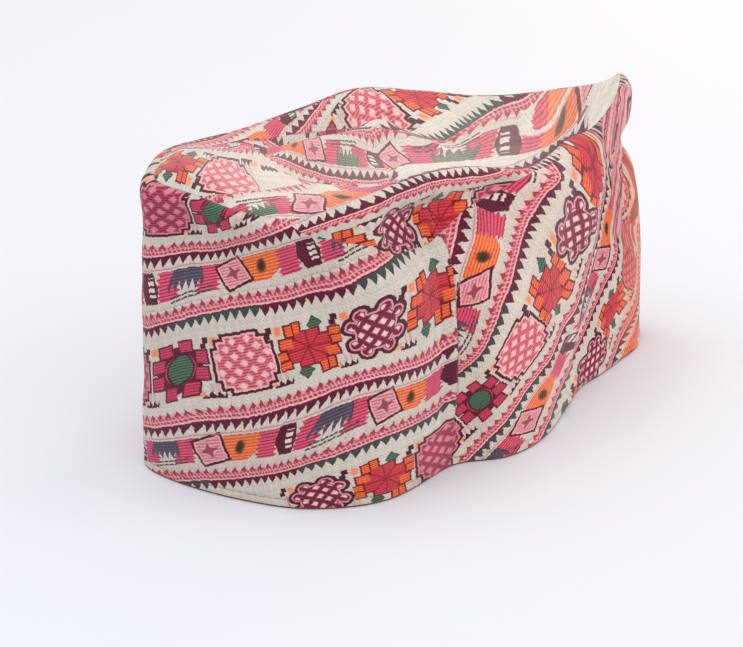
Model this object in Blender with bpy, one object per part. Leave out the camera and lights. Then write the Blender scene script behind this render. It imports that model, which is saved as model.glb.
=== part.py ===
"""Dhaka topi: a brimless cap of patterned cotton, standing on its hem with the crown sunk in.

The cap is one surface, cut into its sewn pieces. Stations run along it from the left end (0) to the
right end (10). A place on the wall is a turn, which is minus the station at the front and plus the
station at the back, and a height share, 0 at the hem and 1 at the shoulder. A place on the crown is a
station and an across share, 0 at the front shoulder and 1 at the back one. Rows of folds then push
that surface in or out.
"""
import bpy
import numpy as np

# Driving sizes in millimetres. X runs along the cap, -Y is its front, Z is up from the floor. The
# tables below have their own plan origin. The finished pieces are moved so that the part's origin is
# on the floor, under the middle of the hem.
MM = 0.001
CLOTH = 1.8            # outer cotton, stiffening and lining sewn into one wall
SEAM_GAP = 0.3         # clearance where two pieces meet
WALL_SEAM_GAP = 0.5    # clearance at the two upright seams, where the cloth bends
HEM_HEIGHT = 3.0       # turned hem that stands on the floor
HEM_PROUD = 0.5        # how far the turned hem stands out of the wall
SHOULDER_ROLL = 5.0    # radius of the rolled edge between wall and crown
FRONT_SEAM = 5.0       # station of the mitred seam at the front
BACK_SEAM = 5.6        # station of the plain seam at the back
SEAM_BOW = 0.25        # stations by which the front seam bows to the right at mid height
BOW_REACH = 1.6        # stations over which the cloth beside the seam follows the bow
LAST_STATION = 10.0
EAR_ROLL = 2.8         # radius of that rolled edge at the pinched ear
EAR_ROLL_FROM = 8.4    # station where the rolled edge starts to narrow towards the ear
EAR_ROLL_SPAN = 1.2    # stations over which it narrows
WALL_LEAN = 1.35       # power of height by which the wall leans from the hem's line to the shoulder's
FOLD_CALM_HEIGHT = 14.0    # the folds fade over this height towards the hem
FOLD_AT_HEM = 0.35     # share of a fold's depth left at the hem
FOLD_TOP_SHARE = 0.04  # share of the wall's height over which folds fade into the shoulder
CROWN_SETTLE = 12.0    # the crown's folds fade over this distance to its rim
CROWN_BOWL = 1.1       # power of the crown's sag, above 1 for a rim that starts flatter
UPRIGHT_RIM = 8.0      # within this of its rim the crown's cut edge and thickness stand upright

# Mesh fineness of the cloth pieces
LEFT_COLUMNS = 52
RIGHT_COLUMNS = 48
WALL_ROWS = 17
ROLL_ROWS = 4
CROWN_COLUMNS = 44
CROWN_ROWS = 17
CROWN_END = 0.07       # the crown starts this share of a station from each end
HEM_COLUMNS = 108
HEM_BEVEL = 0.6
LEFT_END_DENSITY = 1.0     # extra columns where the wall turns round the left end
LEFT_END_REACH = 0.6
RIGHT_END_DENSITY = 2.0    # extra columns where it turns round the right end
RIGHT_END_REACH = 0.5
ROWS_TO_TOP = 0.45         # how much of the wall's row spacing closes up towards the shoulder
COLUMNS_TO_ENDS = 0.45     # how much of the crown's column spacing closes up towards the ends
CURVE_SAMPLES = 2000
NUDGE = 0.02               # stations between the points that give a direction

# The cap's plan and shoulder, one row for each station. Hem points lie on the floor. Sink is how far
# the crown sags between its shoulders.
STATION_COLUMNS = ("station", "front_hem_x", "front_hem_y", "front_top_x", "front_top_y", "front_top_z",
                   "back_hem_x", "back_hem_y", "back_top_x", "back_top_y", "back_top_z", "sink")
STATIONS = (
    (0.0, -100.0, 3.0, -99.0, 2.5, 103.0, -100.0, 3.0, -99.0, 2.5, 103.0, 0.0),
    (1.0, -97.5, -16.0, -92.0, -14.0, 100.5, -91.0, 15.0, -89.5, 15.0, 105.5, -2.5),
    (2.0, -87.0, -39.0, -84.0, -33.0, 98.5, -79.0, 30.5, -76.0, 27.5, 103.5, -4.0),
    (3.0, -72.0, -57.0, -71.0, -47.5, 98.0, -61.5, 46.0, -58.0, 37.5, 100.0, -2.0),
    (4.0, -47.5, -65.5, -50.0, -52.0, 101.0, -39.0, 57.5, -37.0, 43.5, 98.0, 4.0),
    (5.0, -15.0, -57.0, -18.0, -48.0, 102.5, -10.0, 63.0, -8.0, 48.0, 99.0, 8.0),
    (6.0, 6.5, -61.0, 5.0, -45.0, 99.5, 20.0, 62.5, 18.0, 50.5, 100.5, 9.0),
    (7.0, 27.0, -54.5, 37.0, -36.0, 90.5, 50.0, 56.0, 45.0, 50.0, 94.5, 6.0),
    (8.0, 57.0, -33.0, 67.0, -18.0, 89.0, 76.0, 44.5, 70.0, 42.0, 90.0, 5.0),
    (9.0, 87.0, -18.5, 87.0, -8.0, 88.5, 97.0, 29.0, 89.0, 24.0, 93.5, 2.0),
    (9.5, 102.0, -10.5, 97.0, -4.5, 96.0, 107.5, 17.0, 98.5, 10.5, 97.5, 0.0),
    (10.0, 112.0, 3.0, 103.0, 2.0, 102.0, 112.0, 3.0, 103.0, 2.0, 102.0, 0.0),
)

# Folds of the wall. A fold follows a straight line from one turn and height to another. Depth is how
# far it pushes the cloth out (plus) or in (minus), and the reaches are how far it spreads.
WALL_FOLD_COLUMNS = ("fold", "from_turn", "from_z", "to_turn", "to_z",
                     "depth", "reach_up", "reach_down", "reach_along")
WALL_FOLDS = (
    ("tuck under the left shoulder", -0.8, 88.0, -3.2, 80.0, -6.5, 10.0, 15.0, 12.0),
    ("pocket under the ridge", -4.55, 90.0, -6.4, 88.5, -7.0, 6.0, 9.0, 8.0),
    ("depth of the pocket", -4.9, 84.0, -5.3, 86.0, -2.5, 7.0, 9.0, 8.0),
    ("crest beside the pocket", -5.3, 74.0, -7.2, 86.0, 3.0, 6.0, 16.0, 12.0),
    ("bulge left of the seam", -3.7, 76.0, -4.5, 72.0, 3.5, 7.0, 12.0, 12.0),
    ("seam valley", -5.1, 72.0, -5.1, 8.0, -3.0, 8.0, 8.0, 10.0),
    ("valley under the ear", -9.35, 76.0, -8.2, 10.0, -4.0, 9.0, 9.0, 9.0),
    ("swell right of the valley", -9.5, 56.0, -9.4, 22.0, 1.5, 16.0, 20.0, 9.0),
    ("swell of the right end", 10.0, 45.0, 10.0, 25.0, 1.0, 10.0, 20.0, 12.0),
    ("waist under the ear", -9.8, 77.0, 10.0, 77.0, -4.0, 6.0, 6.0, 10.0),
    ("head of the ear", -9.9, 95.0, 10.0, 95.0, 1.5, 9.0, 9.0, 6.0),
    ("slack of the back wall", 2.5, 62.0, 7.5, 58.0, -3.0, 20.0, 24.0, 30.0),
    ("tuck of the back wall", 2.0, 84.0, 4.5, 76.0, -2.5, 9.0, 12.0, 16.0),
)

# Folds of the crown, each along a straight line in plan. Rise is plus for a ridge.
CROWN_FOLD_COLUMNS = ("fold", "from_x", "from_y", "to_x", "to_y", "rise", "reach")
CROWN_FOLDS = (
    ("valley across the crown", -44.0, 22.0, -22.0, -22.0, -5.0, 9.0),
    ("tongue behind the valley", -48.0, 14.0, 4.0, 14.0, 5.0, 8.0),
    ("end of the tongue", 4.0, 16.0, 22.0, 6.0, 3.0, 7.0),
    ("gully behind the tongue", -28.0, 32.0, 22.0, 30.0, -6.0, 7.0),
    ("left lobe", -84.0, 4.0, -64.0, 0.0, 3.0, 16.0),
    ("dip of the right crown", 38.0, 4.0, 66.0, 8.0, -4.0, 15.0),
)

COLOURS = {
    "left_wall": (0.62, 0.42, 0.38),
    "right_wall": (0.66, 0.40, 0.36),
    "crown": (0.72, 0.55, 0.50),
    "hem": (0.36, 0.12, 0.09),
}
ROUGHNESS = 0.85


def whole_ring(level_axis):
    """Knots and values of one plan column all the way round, with a wrap at both ends."""
    stations = [row[0] for row in STATIONS]
    front = [row[STATION_COLUMNS.index(f"front_{level_axis}")] for row in STATIONS]
    back = [row[STATION_COLUMNS.index(f"back_{level_axis}")] for row in STATIONS]
    knots = np.array([-s for s in reversed(stations)] + stations[1:])
    values = np.array(list(reversed(front)) + back[1:])
    turn = 2 * LAST_STATION
    knots = np.concatenate([knots[-4:-1] - turn, knots, knots[1:4] + turn])
    values = np.concatenate([values[-4:-1], values, values[1:4]])
    return knots, values


def spline(at, knots, values):
    """Smooth curve through the knots, with the slopes of its neighbours."""
    slopes = np.gradient(values, knots)
    place = np.clip(np.searchsorted(knots, at, side="right") - 1, 0, len(knots) - 2)
    span = knots[place + 1] - knots[place]
    u = (at - knots[place]) / span
    return ((2 * u ** 3 - 3 * u ** 2 + 1) * values[place] + (u ** 3 - 2 * u ** 2 + u) * span * slopes[place]
            + (3 * u ** 2 - 2 * u ** 3) * values[place + 1] + (u ** 3 - u ** 2) * span * slopes[place + 1])


def within(turn):
    """The same turn, counted from the left end."""
    return np.mod(np.asarray(turn, float) + LAST_STATION, 2 * LAST_STATION) - LAST_STATION


def around(turn, level_axis):
    """A plan column at any turn."""
    return spline(within(turn), *whole_ring(level_axis))


def sink(station):
    """Sag of the crown at a station."""
    knots = np.array([row[0] for row in STATIONS])
    values = np.array([row[STATION_COLUMNS.index("sink")] for row in STATIONS])
    return spline(station, knots, values)


def make_walk():
    """Distance walked along the hem from the left end, sampled once for the folds."""
    turns = np.linspace(-LAST_STATION, LAST_STATION, CURVE_SAMPLES + 1)
    x = around(turns, "hem_x")
    y = around(turns, "hem_y")
    step = np.hypot(np.diff(x), np.diff(y))
    length = np.concatenate([[0.0], np.cumsum(step)])
    return turns, length - np.interp(0.0, turns, length)


WALK_TURNS, WALK_LENGTHS = make_walk()


def walk(turn):
    return np.interp(within(turn), WALK_TURNS, WALK_LENGTHS)


def outward(turn):
    """Unit vector in plan that points out of the wall."""
    x = around(turn + NUDGE, "hem_x") - around(turn - NUDGE, "hem_x")
    y = around(turn + NUDGE, "hem_y") - around(turn - NUDGE, "hem_y")
    size = np.hypot(x, y)
    return -y / size, x / size


def roll_radius(turn):
    """Radius of the rolled shoulder, smaller at the pinched ear."""
    share = np.clip((np.abs(within(turn)) - EAR_ROLL_FROM) / EAR_ROLL_SPAN, 0.0, 1.0)
    return SHOULDER_ROLL + (EAR_ROLL - SHOULDER_ROLL) * share * share * (3 - 2 * share)


def fold_push(turn, height):
    """Sum of the wall's folds at a turn and a height."""
    total = np.zeros(np.broadcast(turn, height).shape)
    along = walk(turn)
    lap = WALK_LENGTHS[-1] - WALK_LENGTHS[0]
    for row in WALL_FOLDS:
        fold = dict(zip(WALL_FOLD_COLUMNS, row))
        start = np.array([walk(fold["from_turn"]), fold["from_z"]])
        way = np.array([walk(fold["to_turn"]), fold["to_z"]]) - start
        way[0] -= lap * round(way[0] / lap)
        for wrap in (-lap, 0.0, lap):
            a = along + wrap - start[0]
            z = height - start[1]
            share = np.clip((a * way[0] + z * way[1]) / max(way @ way, 1e-9), 0.0, 1.0)
            miss_a = a - share * way[0]
            miss_z = z - share * way[1]
            reach_z = np.where(miss_z > 0, fold["reach_up"], fold["reach_down"])
            spread = (miss_a / fold["reach_along"]) ** 2 + (miss_z / reach_z) ** 2
            total = total + fold["depth"] * np.exp(-spread)
    return total


def wall_point(turn, share):
    """Outer surface of the wall."""
    turn, share = np.broadcast_arrays(np.asarray(turn, float), np.asarray(share, float))
    top_z = around(turn, "top_z")
    height = share * top_z
    lean = share ** WALL_LEAN
    x = around(turn, "hem_x") * (1 - lean) + around(turn, "top_x") * lean
    y = around(turn, "hem_y") * (1 - lean) + around(turn, "top_y") * lean
    radius = roll_radius(turn)
    below = np.clip(top_z - height, 0.0, radius)
    roll = radius - np.sqrt(np.maximum(radius ** 2 - (radius - below) ** 2, 0.0))
    calm = FOLD_AT_HEM + (1 - FOLD_AT_HEM) * np.clip(height / FOLD_CALM_HEIGHT, 0.0, 1.0)
    calm = calm * np.clip((1 - share) / FOLD_TOP_SHARE, 0.0, 1.0)
    push = fold_push(turn, height) * calm - roll
    out_x, out_y = outward(turn)
    return np.stack([x + out_x * push, y + out_y * push, height], -1)


def crown_rise(x, y):
    """Sum of the crown's folds at a plan position."""
    total = np.zeros(np.shape(x))
    for row in CROWN_FOLDS:
        fold = dict(zip(CROWN_FOLD_COLUMNS, row))
        way = np.array([fold["to_x"] - fold["from_x"], fold["to_y"] - fold["from_y"]])
        off_x = x - fold["from_x"]
        off_y = y - fold["from_y"]
        share = np.clip((off_x * way[0] + off_y * way[1]) / (way @ way), 0.0, 1.0)
        miss = (off_x - share * way[0]) ** 2 + (off_y - share * way[1]) ** 2
        total = total + fold["rise"] * np.exp(-miss / fold["reach"] ** 2)
    return total


def crown_point(station, across):
    """Outer surface of the crown, from the front shoulder to the back one."""
    station, across = np.broadcast_arrays(np.asarray(station, float), np.asarray(across, float))
    front = wall_point(-station, np.ones_like(station))
    back = wall_point(station, np.ones_like(station))
    point = front + (back - front) * across[..., None]
    width = np.linalg.norm(back - front, axis=-1)
    inset = np.minimum(across, 1 - across) * width
    settle = np.clip(inset / CROWN_SETTLE, 0.0, 1.0)
    settle = settle * settle * (3 - 2 * settle)
    bowl = (4 * across * (1 - across)) ** CROWN_BOWL
    point[..., 2] += crown_rise(point[..., 0], point[..., 1]) * settle - sink(station) * bowl
    return point


def spaced(start, stop, count):
    """Turns from start to stop, closer together where the wall turns round an end."""
    fine = np.linspace(start, stop, CURVE_SAMPLES)
    near_left = np.abs(within(fine))
    near_right = np.abs(near_left - LAST_STATION)
    density = 1.0 + LEFT_END_DENSITY * np.exp(-(near_left / LEFT_END_REACH) ** 2) \
        + RIGHT_END_DENSITY * np.exp(-(near_right / RIGHT_END_REACH) ** 2)
    total = np.concatenate([[0.0], np.cumsum((density[1:] + density[:-1]) / 2)])
    return np.interp(np.linspace(0.0, total[-1], count), total, fine)


def normals(grid):
    """Outward normal at every point of a grid, from its neighbours."""
    normal = np.cross(np.gradient(grid, axis=0), np.gradient(grid, axis=1))
    return normal / np.maximum(np.linalg.norm(normal, axis=-1, keepdims=True), 1e-9)


def wall_shares(turn):
    """Height shares of the wall's rows: even up to the roll, then even round it."""
    top = around(turn, "top_z")
    radius = roll_radius(turn)
    bottom = HEM_HEIGHT + SEAM_GAP
    even = np.linspace(0.0, 1.0, WALL_ROWS - ROLL_ROWS)[:, None]
    plain = (1 - ROWS_TO_TOP) * even + ROWS_TO_TOP * (1 - (1 - even) ** 2)
    angle = np.linspace(0.0, np.pi / 2, ROLL_ROWS + 1)[1:, None]
    low = bottom + (top - radius - bottom) * plain
    high = top - radius * (1 - np.sin(angle))
    return (np.concatenate([low, high]) / top).T


def wall_sheet(start, stop, count):
    """Outer and inner faces of the wall between two turns, listed so that normals face out."""
    turns = spaced(start - WALL_SEAM_GAP / 2 / walk_rate(start),
                   stop + WALL_SEAM_GAP / 2 / walk_rate(stop), count)
    padded = np.concatenate([[2 * turns[0] - turns[1]], turns, [2 * turns[-1] - turns[-2]]])
    shares = wall_shares(padded)
    bow = SEAM_BOW * np.exp(-((within(padded) + FRONT_SEAM) / BOW_REACH) ** 2)
    grid = wall_point(padded[:, None] - bow[:, None] * np.sin(np.pi * shares), shares)
    out = normals(grid)
    out[:, -1] = (0.0, 0.0, 1.0)
    out[:, 0, 2] = 0.0
    return grid[1:-1], (grid - out * CLOTH)[1:-1]


def walk_rate(turn):
    """Millimetres of hem for one station at a turn."""
    return (walk(turn + NUDGE) - walk(turn - NUDGE)) / (2 * NUDGE)


def crown_sheet():
    """Outer and inner faces of the crown."""
    sweep = (1 - np.cos(np.linspace(0.0, np.pi, CROWN_COLUMNS))) / 2
    even = np.linspace(0.0, 1.0, CROWN_COLUMNS)
    share = COLUMNS_TO_ENDS * sweep + (1 - COLUMNS_TO_ENDS) * even
    stations = CROWN_END + (LAST_STATION - 2 * CROWN_END) * share
    front = wall_point(-stations, np.ones_like(stations))
    back = wall_point(stations, np.ones_like(stations))
    gap = SEAM_GAP / np.linalg.norm(back - front, axis=-1)
    across = gap[:, None] + (1 - 2 * gap[:, None]) * np.linspace(0.0, 1.0, CROWN_ROWS)
    grid = crown_point(stations[:, None], across)
    inset = np.minimum(across, 1 - across) * np.linalg.norm(back - front, axis=-1)[:, None]
    trust = np.clip(inset / UPRIGHT_RIM, 0.0, 1.0)[..., None]
    out = normals(grid) * trust + np.array([0.0, 0.0, 1.0]) * (1 - trust)
    out[[0, -1]] = (0.0, 0.0, 1.0)
    out /= np.linalg.norm(out, axis=-1, keepdims=True)
    return grid, grid - out * CLOTH


def hem_loop(away):
    """Plan of the hem at a distance out of the wall's face, listed clockwise from above."""
    turns = spaced(LAST_STATION, -LAST_STATION, HEM_COLUMNS + 1)[:-1]
    face = wall_point(turns, HEM_HEIGHT / around(turns, "top_z"))
    return face[:, :2] + np.stack(outward(turns), -1) * away


def hem_body():
    """The turned hem: a closed loop with a flat foot and bevelled upper edges."""
    inside = -(CLOTH + HEM_PROUD)
    profile = ((inside, 0.0), (HEM_PROUD, 0.0), (HEM_PROUD, HEM_HEIGHT - HEM_BEVEL),
               (HEM_PROUD - HEM_BEVEL, HEM_HEIGHT), (inside + HEM_BEVEL, HEM_HEIGHT),
               (inside, HEM_HEIGHT - HEM_BEVEL))
    loops = []
    for away, height in profile:
        plan = hem_loop(away)
        loops.append(np.concatenate([plan, np.full((HEM_COLUMNS, 1), height)], -1))
    faces = []
    for k in range(len(profile)):
        here = k * HEM_COLUMNS
        after = (k + 1) % len(profile) * HEM_COLUMNS
        for i in range(HEM_COLUMNS):
            j = (i + 1) % HEM_COLUMNS
            faces.append((here + i, here + j, after + j, after + i))
    return np.concatenate(loops), faces


def sheet_body(outer, inner):
    """Close two grids of points into one body."""
    columns, rows = outer.shape[:2]
    points = np.concatenate([outer.reshape(-1, 3), inner.reshape(-1, 3)])
    under = columns * rows
    number = np.arange(under).reshape(columns, rows).tolist()
    faces = []
    for i in range(columns - 1):
        for j in range(rows - 1):
            corners = (number[i][j], number[i + 1][j], number[i + 1][j + 1], number[i][j + 1])
            faces.append(corners)
            faces.append(tuple(corner + under for corner in reversed(corners)))
    bottom = [number[i][0] for i in range(columns)]
    far_end = number[-1]
    top = [number[i][-1] for i in reversed(range(columns))]
    near_end = number[0][::-1]
    rim = bottom + far_end[1:] + top[1:] + near_end[1:]
    for here, after in zip(rim, rim[1:]):
        faces.append((after, here, here + under, after + under))
    return points, faces


def add_piece(name, points, faces):
    """Place one closed body, given in millimetres."""
    mesh = bpy.data.meshes.new(name)
    mesh.from_pydata((points * MM).tolist(), [], faces)
    mesh.shade_smooth()
    piece = bpy.data.objects.new(name, mesh)
    bpy.context.scene.collection.objects.link(piece)
    material = bpy.data.materials.new(name + "_cloth")
    material.use_nodes = True
    shader = material.node_tree.nodes["Principled BSDF"]
    shader.inputs["Base Color"].default_value = (*COLOURS[name], 1.0)
    shader.inputs["Roughness"].default_value = ROUGHNESS
    mesh.materials.append(material)


def build():
    for old in list(bpy.data.objects):
        bpy.data.objects.remove(old)
    edge = hem_loop(HEM_PROUD)
    middle = (edge.min(axis=0) + edge.max(axis=0)) / 2
    pieces = {
        "left_wall": sheet_body(*wall_sheet(BACK_SEAM, -FRONT_SEAM, LEFT_COLUMNS)),
        "right_wall": sheet_body(*wall_sheet(2 * LAST_STATION - FRONT_SEAM, BACK_SEAM, RIGHT_COLUMNS)),
        "crown": sheet_body(*crown_sheet()),
        "hem": hem_body(),
    }
    for name, (points, faces) in pieces.items():
        add_piece(name, points - np.append(middle, 0.0), faces)


build()
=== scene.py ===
"""Dhaka topi: the cap's patterned cloth, dressed over the part's solids.

The cap's surface is worked out from the same tables as the part's source, on a finer grid. The woven
pattern is drawn by shader nodes from two lengths held on the mesh: one along a stripe and one across
the stripes. Those lengths come from places read in the photograph, where a stripe's edge or the
middle of a flower can be seen. Each place is carried to the surface along the camera's line of sight,
and a smooth map through all of them covers the piece.
"""
import math

import bpy
import numpy as np
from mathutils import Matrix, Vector


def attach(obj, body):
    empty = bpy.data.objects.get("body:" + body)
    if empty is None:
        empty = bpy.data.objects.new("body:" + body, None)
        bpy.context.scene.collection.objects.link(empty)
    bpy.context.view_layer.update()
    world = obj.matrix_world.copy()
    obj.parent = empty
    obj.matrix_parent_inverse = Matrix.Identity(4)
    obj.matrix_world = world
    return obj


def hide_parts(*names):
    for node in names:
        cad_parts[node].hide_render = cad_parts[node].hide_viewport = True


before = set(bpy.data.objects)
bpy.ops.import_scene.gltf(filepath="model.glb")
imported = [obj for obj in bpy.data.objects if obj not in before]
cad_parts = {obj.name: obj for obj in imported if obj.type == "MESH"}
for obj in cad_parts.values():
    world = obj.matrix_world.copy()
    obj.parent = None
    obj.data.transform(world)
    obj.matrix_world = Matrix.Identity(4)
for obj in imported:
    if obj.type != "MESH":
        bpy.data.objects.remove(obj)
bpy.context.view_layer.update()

# Driving sizes in millimetres, as in the part's source. X runs along the cap, -Y is its front.
MM = 0.001
CLOTH = 1.8
HEM_HEIGHT = 3.0
HEM_PROUD = 0.5
SHOULDER_ROLL = 5.0
FRONT_SEAM = 5.0
BACK_SEAM = 5.6
SEAM_BOW = 0.25
BOW_REACH = 1.6
LAST_STATION = 10.0
EAR_ROLL = 2.8
EAR_ROLL_FROM = 8.4
EAR_ROLL_SPAN = 1.2
WALL_LEAN = 1.35
FOLD_CALM_HEIGHT = 14.0
FOLD_AT_HEM = 0.35
FOLD_TOP_SHARE = 0.04
CROWN_SETTLE = 12.0
CROWN_BOWL = 1.1
UPRIGHT_RIM = 8.0
LEFT_END_DENSITY = 1.0
LEFT_END_REACH = 0.6
RIGHT_END_DENSITY = 2.0
RIGHT_END_REACH = 0.5
CURVE_SAMPLES = 2000
NUDGE = 0.02

# What the cloth pieces are drawn with here
CLEARANCE = 0.04       # between two pieces that touch
SEAM_DIP = 0.7         # depth of the groove along a sewn seam
SEAM_REACH = 1.4       # half width of that groove
LEFT_COLUMNS = 220
RIGHT_COLUMNS = 250
WALL_ROWS = 92
ROLL_ROWS = 9
CROWN_COLUMNS = 190
CROWN_ROWS = 84
CROWN_END = 0.05       # how near the first and last crown columns come to the ends, in stations
CROWN_SWEEP = 0.4      # how strongly the crown's columns gather at its ends
RIPPLE_FADE = 0.08     # share of the wall's height below the crown where its ripples calm down
SEAM_FADE = 0.03       # the same for the grooves of the seams
HEM_COLUMNS = 640
HEM_SIDES = 20
HEM_OUT = 0.12         # how far the hem's roll stands out of the wall
HEM_CORNER = 0.55      # squareness of the roll's section
RUST_UNDER = 5.7       # turn round the section, in radians, above which the pattern shows
FAR = 50.0             # a distance that is far inside or outside any stretch of pattern

# How finely the surfaces are searched for the place that a pixel shows
FINDER_TURNS = 1300
FINDER_STATIONS = 500
FINDER_ROWS = 240
FINDER_LOWEST = 0.02   # share of the wall's height at the lowest row
PIXEL_SLACK = 0.6      # pixels by which a nearer place may miss and still be taken
REACH_UNIT = 100.0     # millimetres taken as one in the smooth maps, to keep their sums even
MAP_EASE = 0.002       # how far a smooth map may pass beside its values
MOTIF_SHADOW = 16.0    # millimetres across a stripe over which a motif's length along holds

# The cap's plan and shoulder, one row for each station. Hem points lie on the floor. Sink is how far
# the crown sags between its shoulders.
STATION_COLUMNS = ("station", "front_hem_x", "front_hem_y", "front_top_x", "front_top_y", "front_top_z",
                   "back_hem_x", "back_hem_y", "back_top_x", "back_top_y", "back_top_z", "sink")
STATIONS = (
    (0.0, -100.0, 3.0, -99.0, 2.5, 103.0, -100.0, 3.0, -99.0, 2.5, 103.0, 0.0),
    (1.0, -97.5, -16.0, -92.0, -14.0, 100.5, -91.0, 15.0, -89.5, 15.0, 105.5, -2.5),
    (2.0, -87.0, -39.0, -84.0, -33.0, 98.5, -79.0, 30.5, -76.0, 27.5, 103.5, -4.0),
    (3.0, -72.0, -57.0, -71.0, -47.5, 98.0, -61.5, 46.0, -58.0, 37.5, 100.0, -2.0),
    (4.0, -47.5, -65.5, -50.0, -52.0, 101.0, -39.0, 57.5, -37.0, 43.5, 98.0, 4.0),
    (5.0, -15.0, -57.0, -18.0, -48.0, 102.5, -10.0, 63.0, -8.0, 48.0, 99.0, 8.0),
    (6.0, 6.5, -61.0, 5.0, -45.0, 99.5, 20.0, 62.5, 18.0, 50.5, 100.5, 9.0),
    (7.0, 27.0, -54.5, 37.0, -36.0, 90.5, 50.0, 56.0, 45.0, 50.0, 94.5, 6.0),
    (8.0, 57.0, -33.0, 67.0, -18.0, 89.0, 76.0, 44.5, 70.0, 42.0, 90.0, 5.0),
    (9.0, 87.0, -18.5, 87.0, -8.0, 88.5, 97.0, 29.0, 89.0, 24.0, 93.5, 2.0),
    (9.5, 102.0, -10.5, 97.0, -4.5, 96.0, 107.5, 17.0, 98.5, 10.5, 97.5, 0.0),
    (10.0, 112.0, 3.0, 103.0, 2.0, 102.0, 112.0, 3.0, 103.0, 2.0, 102.0, 0.0),
)

# Folds of the wall. A fold follows a straight line from one turn and height to another. Depth is how
# far it pushes the cloth out (plus) or in (minus), and the reaches are how far it spreads.
WALL_FOLD_COLUMNS = ("fold", "from_turn", "from_z", "to_turn", "to_z",
                     "depth", "reach_up", "reach_down", "reach_along")
WALL_FOLDS = (
    ("tuck under the left shoulder", -0.8, 88.0, -3.2, 80.0, -6.5, 10.0, 15.0, 12.0),
    ("pocket under the ridge", -4.55, 90.0, -6.4, 88.5, -7.0, 6.0, 9.0, 8.0),
    ("depth of the pocket", -4.9, 84.0, -5.3, 86.0, -2.5, 7.0, 9.0, 8.0),
    ("crest beside the pocket", -5.3, 74.0, -7.2, 86.0, 3.0, 6.0, 16.0, 12.0),
    ("bulge left of the seam", -3.7, 76.0, -4.5, 72.0, 3.5, 7.0, 12.0, 12.0),
    ("seam valley", -5.1, 72.0, -5.1, 8.0, -3.0, 8.0, 8.0, 10.0),
    ("valley under the ear", -9.35, 76.0, -8.2, 10.0, -4.0, 9.0, 9.0, 9.0),
    ("swell right of the valley", -9.5, 56.0, -9.4, 22.0, 1.5, 16.0, 20.0, 9.0),
    ("swell of the right end", 10.0, 45.0, 10.0, 25.0, 1.0, 10.0, 20.0, 12.0),
    ("waist under the ear", -9.8, 77.0, 10.0, 77.0, -4.0, 6.0, 6.0, 10.0),
    ("head of the ear", -9.9, 95.0, 10.0, 95.0, 1.5, 9.0, 9.0, 6.0),
    ("slack of the back wall", 2.5, 62.0, 7.5, 58.0, -3.0, 20.0, 24.0, 30.0),
    ("tuck of the back wall", 2.0, 84.0, 4.5, 76.0, -2.5, 9.0, 12.0, 16.0),
)

# Folds of the crown, each along a straight line in plan. Rise is plus for a ridge.
CROWN_FOLD_COLUMNS = ("fold", "from_x", "from_y", "to_x", "to_y", "rise", "reach")
CROWN_FOLDS = (
    ("valley across the crown", -44.0, 22.0, -22.0, -22.0, -5.0, 9.0),
    ("tongue behind the valley", -48.0, 14.0, 4.0, 14.0, 5.0, 8.0),
    ("end of the tongue", 4.0, 16.0, 22.0, 6.0, 3.0, 7.0),
    ("gully behind the tongue", -28.0, 32.0, 22.0, 30.0, -6.0, 7.0),
    ("left lobe", -84.0, 4.0, -64.0, 0.0, 3.0, 16.0),
    ("dip of the right crown", 38.0, 4.0, 66.0, 8.0, -4.0, 15.0),
)

# Small ripples of the cloth: wave length along and up the piece, turn of the wave, height
RIPPLES = (
    (61.0, 83.0, 0.3, 0.35),
    (37.0, 52.0, 1.7, 0.28),
    (23.0, 71.0, 2.9, 0.16),
    (47.0, 19.0, 4.4, 0.14),
    (14.0, 26.0, 0.9, 0.09),
)

# The photograph's view, in pixels of its 743 by 647 frame
PHOTO_WIDTH = 743
PHOTO_HEIGHT = 647
VIEW_AZIMUTH = -35.0
VIEW_ELEVATION = 22.0
VIEW_DISTANCE = 1200.0
VIEW_SCALE = 2.87      # pixels for one millimetre at the aim point
AIM_POINT = (0.0, 0.0, 50.0)
AIM_PIXEL = (393.0, 270.0)
SENSOR_WIDTH = 36.0

# The woven pattern, in millimetres of cloth. One period across the stripes holds a wide floral stripe
# and a narrow one, each with a light line, a hatched border and small teeth at its lower edge, and a
# saw edge that hangs from the next light line.
PERIOD = 65.4
FLORAL_WIDTH = 41.7
FLORAL_MIDDLE = 20.8
NARROW_MIDDLE = 54.0
FLOWER_PITCH = 24.5
FLOWERS_IN_REPEAT = 6
NARROW_REPEAT = 66.0
SAW_PITCH = 3.6


def rows(columns, table):
    """The rows of a table as dictionaries."""
    return [dict(zip(columns, row)) for row in table]


def whole_ring(level_axis):
    """Knots and values of one plan column all the way round, with a wrap at both ends."""
    stations = [row[0] for row in STATIONS]
    front = [row[STATION_COLUMNS.index(f"front_{level_axis}")] for row in STATIONS]
    back = [row[STATION_COLUMNS.index(f"back_{level_axis}")] for row in STATIONS]
    knots = np.array([-s for s in reversed(stations)] + stations[1:])
    values = np.array(list(reversed(front)) + back[1:])
    turn = 2 * LAST_STATION
    knots = np.concatenate([knots[-4:-1] - turn, knots, knots[1:4] + turn])
    values = np.concatenate([values[-4:-1], values, values[1:4]])
    return knots, values


def spline(at, knots, values):
    """Smooth curve through the knots, with the slopes of its neighbours."""
    slopes = np.gradient(values, knots)
    place = np.clip(np.searchsorted(knots, at, side="right") - 1, 0, len(knots) - 2)
    span = knots[place + 1] - knots[place]
    u = (at - knots[place]) / span
    return ((2 * u ** 3 - 3 * u ** 2 + 1) * values[place] + (u ** 3 - 2 * u ** 2 + u) * span * slopes[place]
            + (3 * u ** 2 - 2 * u ** 3) * values[place + 1] + (u ** 3 - u ** 2) * span * slopes[place + 1])


def within(turn):
    """The same turn, counted from the left end."""
    return np.mod(np.asarray(turn, float) + LAST_STATION, 2 * LAST_STATION) - LAST_STATION


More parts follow.
